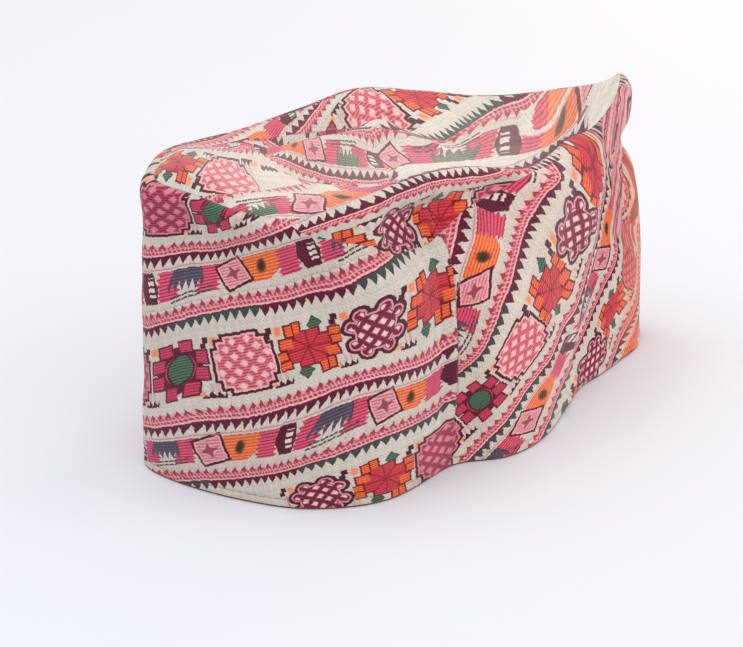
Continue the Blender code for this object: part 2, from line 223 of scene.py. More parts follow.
def around(turn, level_axis):
    """A plan column at any turn."""
    return spline(within(turn), *whole_ring(level_axis))


def sink(station):
    """Sag of the crown at a station."""
    knots = np.array([row[0] for row in STATIONS])
    values = np.array([row[STATION_COLUMNS.index("sink")] for row in STATIONS])
    return spline(station, knots, values)


def make_walk():
    """Distance walked along the hem from the left end, sampled once for the folds."""
    turns = np.linspace(-LAST_STATION, LAST_STATION, CURVE_SAMPLES + 1)
    x = around(turns, "hem_x")
    y = around(turns, "hem_y")
    step = np.hypot(np.diff(x), np.diff(y))
    length = np.concatenate([[0.0], np.cumsum(step)])
    return turns, length - np.interp(0.0, turns, length)


WALK_TURNS, WALK_LENGTHS = make_walk()
LAP = WALK_LENGTHS[-1] - WALK_LENGTHS[0]


def walk(turn):
    """Millimetres of hem walked at a turn."""
    return np.interp(within(turn), WALK_TURNS, WALK_LENGTHS)


def walk_rate(turn):
    """Millimetres of hem for one station at a turn."""
    return (walk(turn + NUDGE) - walk(turn - NUDGE)) / (2 * NUDGE)


def outward(turn):
    """Unit vector in plan that points out of the wall."""
    x = around(turn + NUDGE, "hem_x") - around(turn - NUDGE, "hem_x")
    y = around(turn + NUDGE, "hem_y") - around(turn - NUDGE, "hem_y")
    size = np.hypot(x, y)
    return -y / size, x / size


def roll_radius(turn):
    """Radius of the rolled shoulder, smaller at the pinched ear."""
    share = np.clip((np.abs(within(turn)) - EAR_ROLL_FROM) / EAR_ROLL_SPAN, 0.0, 1.0)
    return SHOULDER_ROLL + (EAR_ROLL - SHOULDER_ROLL) * share * share * (3 - 2 * share)


def fold_push(turn, height):
    """Sum of the wall's folds at a turn and a height."""
    total = np.zeros(np.broadcast(turn, height).shape)
    along = walk(turn)
    for fold in rows(WALL_FOLD_COLUMNS, WALL_FOLDS):
        start = np.array([walk(fold["from_turn"]), fold["from_z"]])
        way = np.array([walk(fold["to_turn"]), fold["to_z"]]) - start
        way[0] -= LAP * round(way[0] / LAP)
        for wrap in (-LAP, 0.0, LAP):
            a = along + wrap - start[0]
            z = height - start[1]
            share = np.clip((a * way[0] + z * way[1]) / max(way @ way, 1e-9), 0.0, 1.0)
            miss_a = a - share * way[0]
            miss_z = z - share * way[1]
            reach_z = np.where(miss_z > 0, fold["reach_up"], fold["reach_down"])
            spread = (miss_a / fold["reach_along"]) ** 2 + (miss_z / reach_z) ** 2
            total = total + fold["depth"] * np.exp(-spread)
    return total


def ripple(along, up):
    """Small uneven waves of the cloth."""
    total = 0.0
    for length_along, length_up, turn, height in RIPPLES:
        wave = np.sin(2 * np.pi * along / length_along + turn)
        total = total + height * wave * np.sin(2 * np.pi * up / length_up + 2.3 * turn)
    return total


def seam_dip(turn):
    """Groove of the cloth along the two upright seams."""
    total = 0.0
    for seam in (-FRONT_SEAM, BACK_SEAM):
        off = (walk(turn) - walk(seam)) / SEAM_REACH
        total = total - SEAM_DIP * np.exp(-off * off)
    return total


def wall_point(turn, share, fine=True):
    """Outer surface of the wall."""
    turn, share = np.broadcast_arrays(np.asarray(turn, float), np.asarray(share, float))
    top_z = around(turn, "top_z")
    height = share * top_z
    lean = share ** WALL_LEAN
    x = around(turn, "hem_x") * (1 - lean) + around(turn, "top_x") * lean
    y = around(turn, "hem_y") * (1 - lean) + around(turn, "top_y") * lean
    radius = roll_radius(turn)
    below = np.clip(top_z - height, 0.0, radius)
    roll = radius - np.sqrt(np.maximum(radius ** 2 - (radius - below) ** 2, 0.0))
    calm = FOLD_AT_HEM + (1 - FOLD_AT_HEM) * np.clip(height / FOLD_CALM_HEIGHT, 0.0, 1.0)
    calm = calm * np.clip((1 - share) / FOLD_TOP_SHARE, 0.0, 1.0)
    push = fold_push(turn, height) * calm - roll
    if fine:
        ends = np.clip(height / FOLD_CALM_HEIGHT, 0.0, 1.0) * np.clip((1 - share) / RIPPLE_FADE, 0.0, 1.0)
        push = push + ripple(x + 0.6 * y, height) * ends
        push = push + seam_dip(turn) * np.clip((1 - share) / SEAM_FADE, 0.0, 1.0)
    out_x, out_y = outward(turn)
    return np.stack([x + out_x * push, y + out_y * push, height], -1)


def crown_rise(x, y):
    """Sum of the crown's folds at a plan position."""
    total = np.zeros(np.shape(x))
    for fold in rows(CROWN_FOLD_COLUMNS, CROWN_FOLDS):
        way = np.array([fold["to_x"] - fold["from_x"], fold["to_y"] - fold["from_y"]])
        off_x = x - fold["from_x"]
        off_y = y - fold["from_y"]
        share = np.clip((off_x * way[0] + off_y * way[1]) / (way @ way), 0.0, 1.0)
        miss = (off_x - share * way[0]) ** 2 + (off_y - share * way[1]) ** 2
        total = total + fold["rise"] * np.exp(-miss / fold["reach"] ** 2)
    return total


def crown_point(station, across):
    """Outer surface of the crown, from the front shoulder to the back one."""
    station, across = np.broadcast_arrays(np.asarray(station, float), np.asarray(across, float))
    front = wall_point(-station, np.ones_like(station))
    back = wall_point(station, np.ones_like(station))
    point = front + (back - front) * across[..., None]
    width = np.linalg.norm(back - front, axis=-1)
    inset = np.minimum(across, 1 - across) * width
    settle = np.clip(inset / CROWN_SETTLE, 0.0, 1.0)
    settle = settle * settle * (3 - 2 * settle)
    bowl = (4 * across * (1 - across)) ** CROWN_BOWL
    rise = crown_rise(point[..., 0], point[..., 1]) + ripple(point[..., 0] + 11.0, point[..., 1] * 2)
    point[..., 2] += rise * settle - sink(station) * bowl
    return point


def spaced(start, stop, count):
    """Turns from start to stop, closer together where the wall turns round an end."""
    fine = np.linspace(start, stop, CURVE_SAMPLES)
    near_left = np.abs(within(fine))
    near_right = np.abs(near_left - LAST_STATION)
    density = 1.0 + LEFT_END_DENSITY * np.exp(-(near_left / LEFT_END_REACH) ** 2) \
        + RIGHT_END_DENSITY * np.exp(-(near_right / RIGHT_END_REACH) ** 2)
    total = np.concatenate([[0.0], np.cumsum((density[1:] + density[:-1]) / 2)])
    return np.interp(np.linspace(0.0, total[-1], count), total, fine)


def normals(grid):
    """Outward normal at every point of a grid, from its neighbours."""
    normal = np.cross(np.gradient(grid, axis=0), np.gradient(grid, axis=1))
    return normal / np.maximum(np.linalg.norm(normal, axis=-1, keepdims=True), 1e-9)


def wall_shares(turn):
    """Height shares of the wall's rows: even up to the roll, then even round it."""
    top = around(turn, "top_z")
    radius = roll_radius(turn)
    bottom = HEM_HEIGHT + CLEARANCE
    even = np.linspace(0.0, 1.0, WALL_ROWS - ROLL_ROWS)[:, None]
    angle = np.linspace(0.0, np.pi / 2, ROLL_ROWS + 1)[1:, None]
    low = bottom + (top - radius - bottom) * even
    high = top - radius * (1 - np.sin(angle))
    return (np.concatenate([low, high]) / top).T


def along_front(turn):
    """Distance along the wall from the left end, growing to the right along the front."""
    return -walk(turn)


def hem_loop(away):
    """Plan of the hem at a distance out of the wall's face, listed clockwise from above."""
    turns = spaced(LAST_STATION, -LAST_STATION, HEM_COLUMNS + 1)[:-1]
    face = wall_point(turns, HEM_HEIGHT / around(turns, "top_z"), fine=False)
    return face[:, :2] + np.stack(outward(turns), -1) * away


def plan_middle():
    """Middle of the hem's outer edge, which is the part's origin in plan."""
    edge = hem_loop(HEM_PROUD)
    return np.append((edge.min(axis=0) + edge.max(axis=0)) / 2, 0.0)


MIDDLE = plan_middle()


def unit(vector):
    return vector / np.linalg.norm(vector)


def view_axes():
    """Eye, right, up and forward of the photograph's camera, in the tables' own plan frame."""
    azimuth = math.radians(VIEW_AZIMUTH)
    elevation = math.radians(VIEW_ELEVATION)
    back = np.array([math.sin(azimuth) * math.cos(elevation), -math.cos(azimuth) * math.cos(elevation),
                     math.sin(elevation)])
    right = np.array([math.cos(azimuth), math.sin(azimuth), 0.0])
    eye = np.array(AIM_POINT) + back * VIEW_DISTANCE
    off_right = (PHOTO_WIDTH / 2 - AIM_PIXEL[0]) / (VIEW_SCALE * VIEW_DISTANCE)
    off_up = (AIM_PIXEL[1] - PHOTO_HEIGHT / 2) / (VIEW_SCALE * VIEW_DISTANCE)
    forward = unit(right * off_right + np.cross(back, right) * off_up - back)
    right = unit(np.cross(forward, (0.0, 0.0, 1.0)))
    return eye, right, np.cross(right, forward), forward


def seen_at(points):
    """Photograph pixels of points, and how far in front of the eye they are."""
    eye, right, up, forward = view_axes()
    off = points - eye
    depth = off @ forward
    x = PHOTO_WIDTH / 2 + VIEW_SCALE * VIEW_DISTANCE * (off @ right) / depth
    y = PHOTO_HEIGHT / 2 - VIEW_SCALE * VIEW_DISTANCE * (off @ up) / depth
    return np.stack([x, y], -1), depth


class Finder:
    """Finds the place on a surface that a photograph pixel shows: the nearest one that faces the camera."""

    def __init__(self, points, places):
        eye = view_axes()[0]
        facing = np.sum(normals(points) * (eye - points), axis=-1) > 0
        self.pixels, self.depth = seen_at(points[facing])
        self.places = places[facing]

    def place(self, pixel):
        miss = np.linalg.norm(self.pixels - np.array(pixel, float), axis=-1)
        near = np.flatnonzero(miss < miss.min() + PIXEL_SLACK)
        return self.places[near[np.argmin(self.depth[near])]]


def wall_finder():
    turns = np.linspace(-LAST_STATION, LAST_STATION, FINDER_TURNS)[::-1]
    shares = np.linspace(FINDER_LOWEST, 1.0, FINDER_ROWS)
    turn, share = np.meshgrid(turns, shares, indexing="ij")
    points = wall_point(turn, share)
    return Finder(points, np.stack([along_front(turn), points[..., 2]], -1))


def crown_finder():
    stations = np.linspace(CROWN_END, LAST_STATION - CROWN_END, FINDER_STATIONS)
    station, across = np.meshgrid(stations, np.linspace(0.0, 1.0, FINDER_ROWS), indexing="ij")
    points = crown_point(station, across)
    return Finder(points, points[..., :2])


class SmoothMap:
    """The smoothest surface through values at scattered places, with some ease."""

    def __init__(self, places, values):
        self.places = np.array(places, float) / REACH_UNIT
        count = len(self.places)
        plane = np.concatenate([np.ones((count, 1)), self.places], axis=1)
        matrix = np.zeros((count + 3, count + 3))
        matrix[:count, :count] = self.kernel(self.places) + MAP_EASE * np.eye(count)
        matrix[:count, count:] = plane
        matrix[count:, :count] = plane.T
        self.weights = np.linalg.solve(matrix, np.append(np.array(values, float), np.zeros(3)))

    def kernel(self, at):
        gap = np.linalg.norm(at[:, None] - self.places[None], axis=-1)
        return gap * gap * np.log(gap + 1e-9)

    def __call__(self, places):
        flat = np.reshape(places, (-1, 2)) / REACH_UNIT
        plane = np.concatenate([np.ones((len(flat), 1)), flat], axis=1)
        value = self.kernel(flat) @ self.weights[:-3] + plane @ self.weights[-3:]
        return value.reshape(np.shape(places)[:-1])

    def slope(self, place):
        """Direction in which the value grows fastest."""
        place = np.array(place, float)
        return np.array([float(self(place + half) - self(place - half)) for half in np.eye(2) / 2])


class Chart:
    """Lengths along and across the stripes over one stretch of cloth.

    edges gives photograph pixels by their length across, middles gives pixels with the length along,
    and anchors gives hidden places with both. shadow is how far across the stripe, on both sides, the
    length along of a middle also holds.
    """

    def __init__(self, finder, edges, middles, anchors=(), shadow=MOTIF_SHADOW):
        places = []
        across = []
        for value, pixels in edges:
            for pixel in pixels:
                places.append(finder.place(pixel))
                across.append(value)
        for place, _, value in anchors:
            places.append(place)
            across.append(value)
        self.across = SmoothMap(places, across)
        places = []
        along = []
        for x, y, value, *lean in middles:
            place = finder.place((x, y))
            if lean:
                reach = np.array(lean) * shadow
                twins = [finder.place((x, y) + reach), finder.place((x, y) - reach)]
            else:
                reach = unit(self.across.slope(place)) * shadow
                twins = [place + reach, place - reach]
            for at in (place, *twins):
                places.append(at)
                along.append(value)
        for place, value, _ in anchors:
            places.append(place)
            along.append(value)
        self.along = SmoothMap(places, along)


# Places read in the photograph: the length across at a stripe's light line or middle, and its pixels
LEFT_EDGES = (
    (-44.6, ((320, 496), (386, 479), (443, 450))),
    (-23.7, ((183, 486), (234, 479.5), (285, 472), (330, 459), (371, 443.5), (408, 428), (432, 415),
             (452, 401))),
    (0.0, ((145, 426.5), (196, 422.5), (247, 417), (285, 409), (330, 393), (366, 381), (408, 370.5),
           (440, 354.5), (457, 343))),
    (20.8, ((183, 368), (244, 364), (310, 347), (376, 332), (431, 295))),
    (41.7, ((146, 328.5), (181, 320.5), (235, 308), (283, 301.5), (325, 291), (360, 277.5), (384, 264),
            (403, 249))),
    (65.4, ((147, 258), (188, 251.5), (236, 245.5), (267, 236.5), (292, 226))),
    (86.2, ((165, 212), (210, 213))),
)
# The pixel of a motif's middle and its length along
LEFT_MIDDLES = (
    (183, 368, 0.0),
    (244, 364, 24.5),
    (310, 347, 49.0),
    (376, 332, 73.5),
    (431, 295, 98.0),
    (320, 496, 52.7),
    (386, 479, 77.2),
    (443, 450, 101.7),
    (205, 455, 9.7),
)
RIGHT_EDGES = (
    (0.0, ((460, 224), (455, 240), (449, 262), (444.5, 287))),
    (-18.3, ((547, 171), (534.8, 189.5), (513.5, 226.5))),
    (-23.7, ((558.8, 171), (547.5, 189.5), (525.5, 226.5), (518.5, 256), (512, 286),
             (503, 303), (495.5, 328), (481, 356), (461, 373))),
    (-33.6, ((556.5, 229), (530, 292), (499, 357))),
    (-44.6, ((480, 400.4), (523, 348.4), (551.4, 290), (578, 229), (594, 166))),
    (-55.4, ((597, 229), (573, 289), (546, 341))),
    (-65.4, ((475, 463), (503, 425), (522, 398.5), (542.5, 369), (554.5, 353), (567, 322), (590, 262),
             (601, 220), (607, 180), (603, 140))),
    (-89.1, ((550, 420), (565, 381), (580, 346), (598, 303), (612, 272), (620, 246), (627, 216))),
    (-110.0, ((592.5, 361.5), (609.5, 309), (631, 268))),
)
# On the right wall each also has the pixels that one millimetre across moves it
RIGHT_MIDDLES = (
    (443.5, 449.5, -24.5, -0.9, -1.9),
    (480, 400.4, 0.0, -1.3, -1.2),
    (523, 348.4, 24.5, -1.4, -0.9),
    (551.4, 290, 49.0, -1.31, -1.64),
    (578, 229, 73.5, -1.4, -0.7),
    (594, 166, 98.0, -0.6, -1.8),
    (466, 343, 16.5, -2.2, -1.5),
    (479, 290, 36.0, -2.9, -0.4),
    (484, 253, 47.0, -2.9, -0.4),
    (504, 203, 67.5, -2.0, -0.8),
    (592.5, 361.5, 36.0, -0.8, -1.1),
    (611.5, 310.5, 60.5, -0.8, -1.3),
    (630.5, 267, 85.0, -0.6, -1.3),
    (633.5, 232, 109.5, -0.6, -1.3),
)
RIDGE_EDGES = (
    (60.8, ((308, 219), (342, 206), (375, 193), (446, 168), (473, 163), (530, 157))),
    (65.4, ((292, 233), (325.5, 223), (358.5, 211.5), (375, 205), (397, 194), (421.5, 184.5), (446, 178.5),
            (473, 174), (496, 172), (530, 168), (552, 165.5))),
    (70.8, ((318, 233), (342, 225.5), (375, 214), (397, 203), (446, 187), (496, 180), (530, 173))),
    (86.2, ((395, 228), (441, 221))),
)
RIDGE_MIDDLES = (
    (300, 236, 38.0),
    (345, 229, 55.0),
    (395, 227, 73.5),
    (441, 221, 98.0),
    (500, 184, 120.0),
    (545, 168, 138.0),
)
RIDGE_FOOT = ((292, 229), (318, 239), (345, 243), (372, 246), (390, 257), (429, 244), (466, 208), (500, 190),
              (533, 172), (560, 160))
FRONT_EDGES = (
    (54.0, ((312, 148), (347, 152))),
    (65.4, ((289, 159.5), (309, 170), (322, 175), (361, 180))),
    (70.8, ((256, 154), (281, 166), (316, 177))),
    (74.3, ((226, 157.5), (182, 150))),
    (86.2, ((226, 176), (178, 162))),
    (98.0, ((222, 193), (172, 178))),
)
FRONT_MIDDLES = (
    (312, 148, 151.5),
    (347, 152, 132.0),
    (226, 176, 196.0),
    (178, 162, 220.5),
    (254, 177, 184.0),
    (197, 172, 208.0),
    (156, 164, 232.0),
)
SHOULDER_EDGES = (
    (47.1, ((231, 199), (277, 192), (316, 184))),
    (54.0, ((258, 208), (284, 202), (312, 201), (345, 194))),
    (60.8, ((262, 222), (308, 217), (342, 206))),
)
SHOULDER_MIDDLES = (
    (258, 208, 0.0),
    (312, 202, 19.5),
    (345, 194, 32.0),
)
MIDCROWN_EDGES = (
    (47.1, ((385, 140), (455, 140), (478, 127), (505, 118), (543, 99))),
    (41.7, ((445, 139), (473, 123), (499, 105), (529, 95))),
    (54.0, ((391, 158), (455, 150), (506, 138), (557, 128))),
    (60.0, ((466, 161), (497, 156.5), (521, 153.5), (556, 141))),
)
MIDCROWN_MIDDLES = (
    (378, 155, 91.3, 1.04, 2.78),
    (391.5, 158, 85.5, 1.04, 2.78),
    (405, 160, 79.7, 1.04, 2.78),
    (430, 157, 73.0, 0.2, 2.2),
    (455, 150, 66.0, -0.4, 1.9),
    (508, 140, 51.0, -0.3, 2.2),
    (557, 128, 30.5, -0.3, 2.4),
    (581, 119, 19.0, -0.5, 2.2),
)
BACKCROWN_EDGES = (
    (0.0, ((294, 133), (308, 118), (321, 102))),
    (41.7, ((445, 141), (473, 123), (499, 105), (529, 95))),
    (20.8, ((372, 112), (408, 98))),
    (-11.4, ((272, 128), (290, 113))),
)
BACKCROWN_MIDDLES = (
    (372, 112, 24.5),
    (425, 101, 49.0),
)
# Hidden places of the crown, in plan, with the lengths along and across
FRONT_ANCHORS = (
    ((-46, 16), 182.0, 64.5),
    ((-59, 24), 213.0, 55.0),
    ((-57, 32), 220.0, 48.0),
    ((-44, 30), 196.0, 52.0),
    ((-72, 19), 227.0, 61.0),
    ((-82, 13), 233.0, 68.0),
)
MIDCROWN_ANCHORS = (
    ((-9, -15), 84.0, 61.5),
    ((-12, -42), 80.0, 86.0),
    ((7, -18), 70.0, 66.0),
    ((4, -40), 66.0, 87.0),
    ((28, -26), 51.0, 83.0),
    ((51, -20), 35.0, 83.0),
    ((72, -8), 21.0, 73.0),
)
# Where the crown's stretches of pattern meet, in pixels
CROWN_CREASE = ((150, 152), (200, 147), (232, 142), (262, 140), (295, 134), (325, 131), (352, 128),
                (372, 127), (395, 130), (420, 137), (445, 141), (473, 123), (499, 105), (522, 97),
                (545, 82), (600, 50))
SHOULDER_TOP = ((185, 197), (226, 194), (250, 193), (277, 188), (316, 182), (340, 183), (372, 184),
                (395, 186))
SHOULDER_END = 398.0             # column where the stretch over the left shoulder ends
# The fold over the crown is drawn between these columns as a dark line of painted shade
CREASE_SHADE_COLUMNS = (245, 446)      # columns between which the fold over the crown shows as a line
RIM_SAW = 5.5                    # how much of the repeat the saw edge on the crown's front rim takes
RIM_SAW_SLOPE = 0.5              # its length across for each millimetre of cloth
RIM_SAW_FROM = 398               # pixel column where it starts
RIM_SAW_TO = 588                 # pixel column where it stops
TONGUE_CUT = ((368, 120), (370, 134), (373, 143), (386, 170), (392, 184))  # where two meet on the tongue

# How each stretch of cloth departs from the plain repeat, by row. floral and narrow: how far the row's
# motifs are moved along. green: row, upper line or not, and the lengths between which its saw edge is
# green, not maroon. bare: row, and the lengths between which it has no flower
SHIFTS = {
    "left": {"floral": {-1: -20.8, 1: 18.5}, "narrow": {-2: 20.0, -1: -8.4, 0: 6.0},
             "green": ((0, 0, -1, 34), (0, 0, 69, 200), (-1, 0, -30, 9), (-1, 0, 49, 200),
                       (-1, 1, -150, -70)),
             "bare": ((-1, 37, 61), (1, 160, 184))},
    "right": {"floral": {-2: -37.0, 0: 9.0}, "narrow": {-3: 8.0, -2: -14.0, -1: 16.5},
              "green": ((-1, 0, -10, 34), (-2, 1, -60, 20), (-2, 0, -60, 30), (-3, 1, 60, 130),
                        (-3, 0, 0, 60)),
              "bare": ()},
    "front": {"floral": {1: 171.5}, "narrow": {}, "green": (), "bare": ((1, -14, 13),)},
    "backcrown": {"floral": {-1: 30.0}, "narrow": {-1: 11.0, 0: 20.0}, "green": ((0, 0, 30, 74),),
                  "bare": ()},
}

# Rows by which each stretch's own rows are moved, so that no two stretches of a piece share one
ROW_STEP = {"left": 0, "right": 0, "ridge": 6, "front": 0, "shoulder": 6, "midcrown": 12, "backcrown": 18}
# The crown's stretches: name, edges, middles, anchors and shadow
CROWN_STRETCHES = (
    ("front", FRONT_EDGES, FRONT_MIDDLES, FRONT_ANCHORS, 8.0),
    ("shoulder", SHOULDER_EDGES, SHOULDER_MIDDLES, (), 5.0),
    ("midcrown", MIDCROWN_EDGES, MIDCROWN_MIDDLES, MIDCROWN_ANCHORS, 6.0),
    ("backcrown", BACKCROWN_EDGES, BACKCROWN_MIDDLES, (), 10.0),
)
RIDGE_BACK = 20.0      # how far back, in mm, the wall's stretch over the crest fold may reach
# Hidden wall, in millimetres: how far along from the last place that shows, and the heights there
LEFT_HIDDEN = ((-45.0, -90.0, -135.0), (5.0, 50.0, 95.0))
RIGHT_HIDDEN = ((30.0, 75.0, 120.0), (5.0, 50.0, 90.0))
RIGHT_LAST = ((592.5, 361.5), 36.0, -110.0)    # that place's pixel, and its lengths along and across
STRIPE_LEAN = (0.35, 0.93)                     # slope of the stripes over the back of the right wall


def in_pixels(line, x):
    """Height in the photograph of a line of pixels at a column."""
    return np.interp(x, [pixel[0] for pixel in line], [pixel[1] for pixel in line])


def left_charts():
    """The wall's finder, the left wall's chart and the chart of the cloth over the crest fold."""
    finder = wall_finder()
    edge = finder.place(LEFT_EDGES[2][1][0])
    flower = finder.place(LEFT_MIDDLES[0][:2])
    anchors = [((away, height), away - flower[0], height - edge[1])
               for away in LEFT_HIDDEN[0] for height in LEFT_HIDDEN[1]]
    main = Chart(finder, LEFT_EDGES, LEFT_MIDDLES, anchors)
    return finder, main, Chart(finder, RIDGE_EDGES, RIDGE_MIDDLES, shadow=6.0)


def right_chart(finder):
    pixel, last_along, last_across = RIGHT_LAST
    last = finder.place(pixel)
    anchors = []
    for away in RIGHT_HIDDEN[0]:
        for height in RIGHT_HIDDEN[1]:
            up = height - last[1]
            along = last_along + STRIPE_LEAN[0] * away + STRIPE_LEAN[1] * up
            across = last_across - STRIPE_LEAN[1] * away + STRIPE_LEAN[0] * up
            anchors.append(((last[0] + away, height), along, across))
    return Chart(finder, RIGHT_EDGES, RIGHT_MIDDLES, anchors, shadow=7.0)


# Colours of the threads, as they look under plain light
GROUND = "#dddacd"
GROUND_SHADE = "#c3c1b3"
CRIMSON = "#b22746"
MAROON = "#4e1828"
DARK_GREEN = "#3f4c49"
SAW_RED = "#5e1b31"
STAR_SEAM = "#84182a"
INNER = "#c9c3b4"
INNER_SHADE = "#aca592"
RUST = "#8d4334"
RUST_SHADE = "#5f2a22"

# Painted highlight: the lit top of the crown is drawn paler by mixing in this pale colour, palest away from
# the front rim and in front of the fold line
HIGHLIGHT_PALE = "#f2ddd3"
# Colours each piece's cloth is multiplied by: on the left wall it darkens the cloth as painted shade, on the
# right wall it warms it as painted warm light, and on the crown it gives a slight warm cast
TINTS_AND_PAINTED_LIGHT = {"left": (0.95, 0.88, 0.88), "right": (1.02, 0.91, 0.88), "crown": (1.01, 0.99, 0.97)}
HIGHLIGHT_MOST = 0.17       # how pale the middle of the crown is
HIGHLIGHT_REACH = 16.0      # how far from the front rim the cloth is fully pale
HIGHLIGHT_LEVEL = 0.65      # share of it at the fold line
HIGHLIGHT_RUN = 20.0        # millimetres in front of that line over which it grows by one
HIGHLIGHT_LEAST = 0.25      # its least share

THREAD = 0.8           # pitch of the weave in millimetres
THREAD_SLIP = 0.34     # how far a thread's colour runs past its neighbour's
HATCH = 1.15           # pitch of the satin lines
SOFT = 0.22            # softness of a colour's edge


def linear(code):
    """Colour code to the renderer's own values."""
    parts = [int(code[k:k + 2], 16) / 255 for k in (1, 3, 5)]
    return tuple(((c + 0.055) / 1.055) ** 2.4 if c > 0.04045 else c / 12.92 for c in parts) + (1.0,)


class Field:
    """A number that varies over the cloth, worked out by math nodes."""

    def __init__(self, tree, socket):
        self.tree = tree
        self.socket = socket

    def work(self, operation, *others, clamp=False):
        node = self.tree.nodes.new("ShaderNodeMath")
        node.operation = operation
        node.use_clamp = clamp
        for slot, value in zip(node.inputs, (self, *others)):
            if isinstance(value, Field):
                self.tree.links.new(value.socket, slot)
            else:
                slot.default_value = value
        return Field(self.tree, node.outputs[0])

    def __add__(self, other):
        return self.work("ADD", other)

    def __sub__(self, other):
        return self.work("SUBTRACT", other)

    def __mul__(self, other):
        return self.work("MULTIPLY", other)

    def __neg__(self):
        return self.work("MULTIPLY", -1.0)

    def __abs__(self):
        return self.work("ABSOLUTE")

    def least(self, other):
        return self.work("MINIMUM", other)

    def most(self, other):
        return self.work("MAXIMUM", other)

    def floor(self):
        return self.work("FLOOR")

    def part(self):
        return self.work("FRACT")

    def wave(self):
        return self.work("SINE")

    def below(self, level, soft=SOFT):
        """One where this is under the level."""
        if isinstance(level, Field):
            return (self - level).below(0.0, soft)
        return self.work("MULTIPLY_ADD", -1.0 / soft, level / soft + 0.5, clamp=True)

    def above(self, level, soft=SOFT):
        if isinstance(level, Field):
            return (self - level).above(0.0, soft)
        return self.work("MULTIPLY_ADD", 1.0 / soft, 0.5 - level / soft, clamp=True)

    def between(self, low, high, soft=SOFT):
        return abs(self - (low + high) / 2).below((high - low) / 2, soft)

    def near(self, level):
        """One where a whole number equals the level."""
        return self.work("COMPARE", level, 0.5)

    def zigzag(self, pitch):
        """Zero to one and back over a pitch."""
        return abs((self * (1.0 / pitch)).part() * 2.0 - 1.0)


def mix(tree, data_type, end, share, first, second):
    """The second value over the first by a share. A value is a socket or a plain colour."""
    node = tree.nodes.new("ShaderNodeMix")
    node.data_type = data_type
    sockets = {s.identifier: s for s in node.inputs}
    for name, value in (("A_" + end, first), ("B_" + end, second)):
        if isinstance(value, tuple):
            sockets[name].default_value = value
        else:
            tree.links.new(value, sockets[name])
    tree.links.new(share.socket, sockets["Factor_Float"])
    return {s.identifier: s for s in node.outputs}["Result_" + end]


class Picture:
    """Paints colours one over another through masks."""

    def __init__(self, tree, colour):
        self.tree = tree
        self.colour = linear(colour)

    def paint(self, mask, colour):
        self.colour = mix(self.tree, "RGBA", "Color", mask, self.colour, linear(colour))

    def shade(self, amount):
        """Multiply the colour by a field."""
        node = self.tree.nodes.new("ShaderNodeVectorMath")
        node.operation = "SCALE"
        self.tree.links.new(self.colour, node.inputs[0])
        self.tree.links.new(amount.socket, node.inputs["Scale"])
        self.colour = node.outputs[0]

    def tint(self, colour):
        """Multiply the colour by another."""
        node = self.tree.nodes.new("ShaderNodeVectorMath")
        node.operation = "MULTIPLY"
        self.tree.links.new(self.colour, node.inputs[0])
        node.inputs[1].default_value = colour
        self.colour = node.outputs[0]


def separate(tree, vector):
    node = tree.nodes.new("ShaderNodeSeparateXYZ")
    tree.links.new(vector, node.inputs[0])
    return [Field(tree, output) for output in node.outputs]


def noise(tree, vector, scale, detail=1.0):
    node = tree.nodes.new("ShaderNodeTexNoise")
    node.inputs["Scale"].default_value = scale
    node.inputs["Detail"].default_value = detail
    tree.links.new(vector, node.inputs["Vector"])
    return node


def by_thread(tree, number, seed):
    """A value of its own for each thread, from zero to one."""
    node = tree.nodes.new("ShaderNodeTexWhiteNoise")
    node.noise_dimensions = "1D"
    tree.links.new((number + seed).socket, node.inputs["W"])
    return Field(tree, node.outputs["Value"])


def uv_map(tree, name):
    node = tree.nodes.new("ShaderNodeUVMap")
    node.uv_map = name
    return node.outputs[0]


def choose(tree, vector, other, pick):
    """The other vector where pick is above zero."""
    return mix(tree, "VECTOR", "Vector", pick.above(0.0, 0.02), vector, other)


def moved(along, row, shifts):
    """The length along, moved for each row of motifs."""
    for number, shift in sorted(shifts.items()):
        along = along - row.near(float(number)) * shift
    return along


def hatch(at, pitch=HATCH):
    """Fine satin lines."""
    return (at * (2 * math.pi / pitch)).wave()


def half_turn(x, y):
    """Coordinates that fold a place onto its twin half a turn away."""
    return abs(x), y * (x.above(0.0, 0.01) * 2.0 - 1.0)


def block(x, y, at_x, at_y, half_x, half_y):
    """How far outside a square petal a place is, in millimetres; below zero is inside."""
    return (abs(x - at_x) - half_x).most(abs(y - at_y) - half_y)


def blocks(x, y, table):
    """How far outside the nearest of several square petals a place is."""
    shape = block(x, y, *table[0])
    for petal in table[1:]:
        shape = shape.least(block(x, y, *petal))
    return shape


def satin(picture, shape, pick, lines, colours, inset, strength):
    """A figure in one colour, with satin lines of another a little inside its edge."""
    picture.paint(shape.below(0.0) * pick, colours[0])
    picture.paint(shape.below(-inset) * lines * pick * strength, colours[1])


# The motifs' square petals, in millimetres from the motif's middle: place across and up, half width and
# half height. Those of the flower and the star stand for two, half a turn apart
FLOWER_PETALS = ((5.2, -8.5, 2.5, 2.4), (2.6, 9.1, 2.5, 2.4), (8.6, 3.9, 2.5, 2.6), (8.4, -2.9, 2.5, 2.5))
LOZENGE_STEPS = ((0.0, 0.0, 7.6, 12.4), (0.0, 0.0, 12.0, 7.0), (0.0, 0.0, 10.3, 10.4))
STAR_PETALS = ((6.1, -8.8, 1.3, 2.3), (3.2, -9.3, 1.3, 2.3), (7.8, -3.5, 2.4, 2.2), (10.5, 1.2, 2.0, 1.6),
               (10.1, 4.9, 2.0, 1.6))
STAR_CROSS = ((0.0, 0.0, 8.0, 4.5), (0.0, 0.0, 4.7, 7.4))
SPRIG_DOTS = ((-2.1, 8.4, 1.1, 1.1), (-1.1, 10.7, 1.1, 1.2))
KNOT_LOBES = ((4.3, 7.9), (8.2, 4.1))
KNOT_LOBE_RADIUS = 4.1
# The narrow row's crimson bars: place along and half width
BARS = ((8.6, 5.2), (41.6, 5.3), (59.4, 4.9))


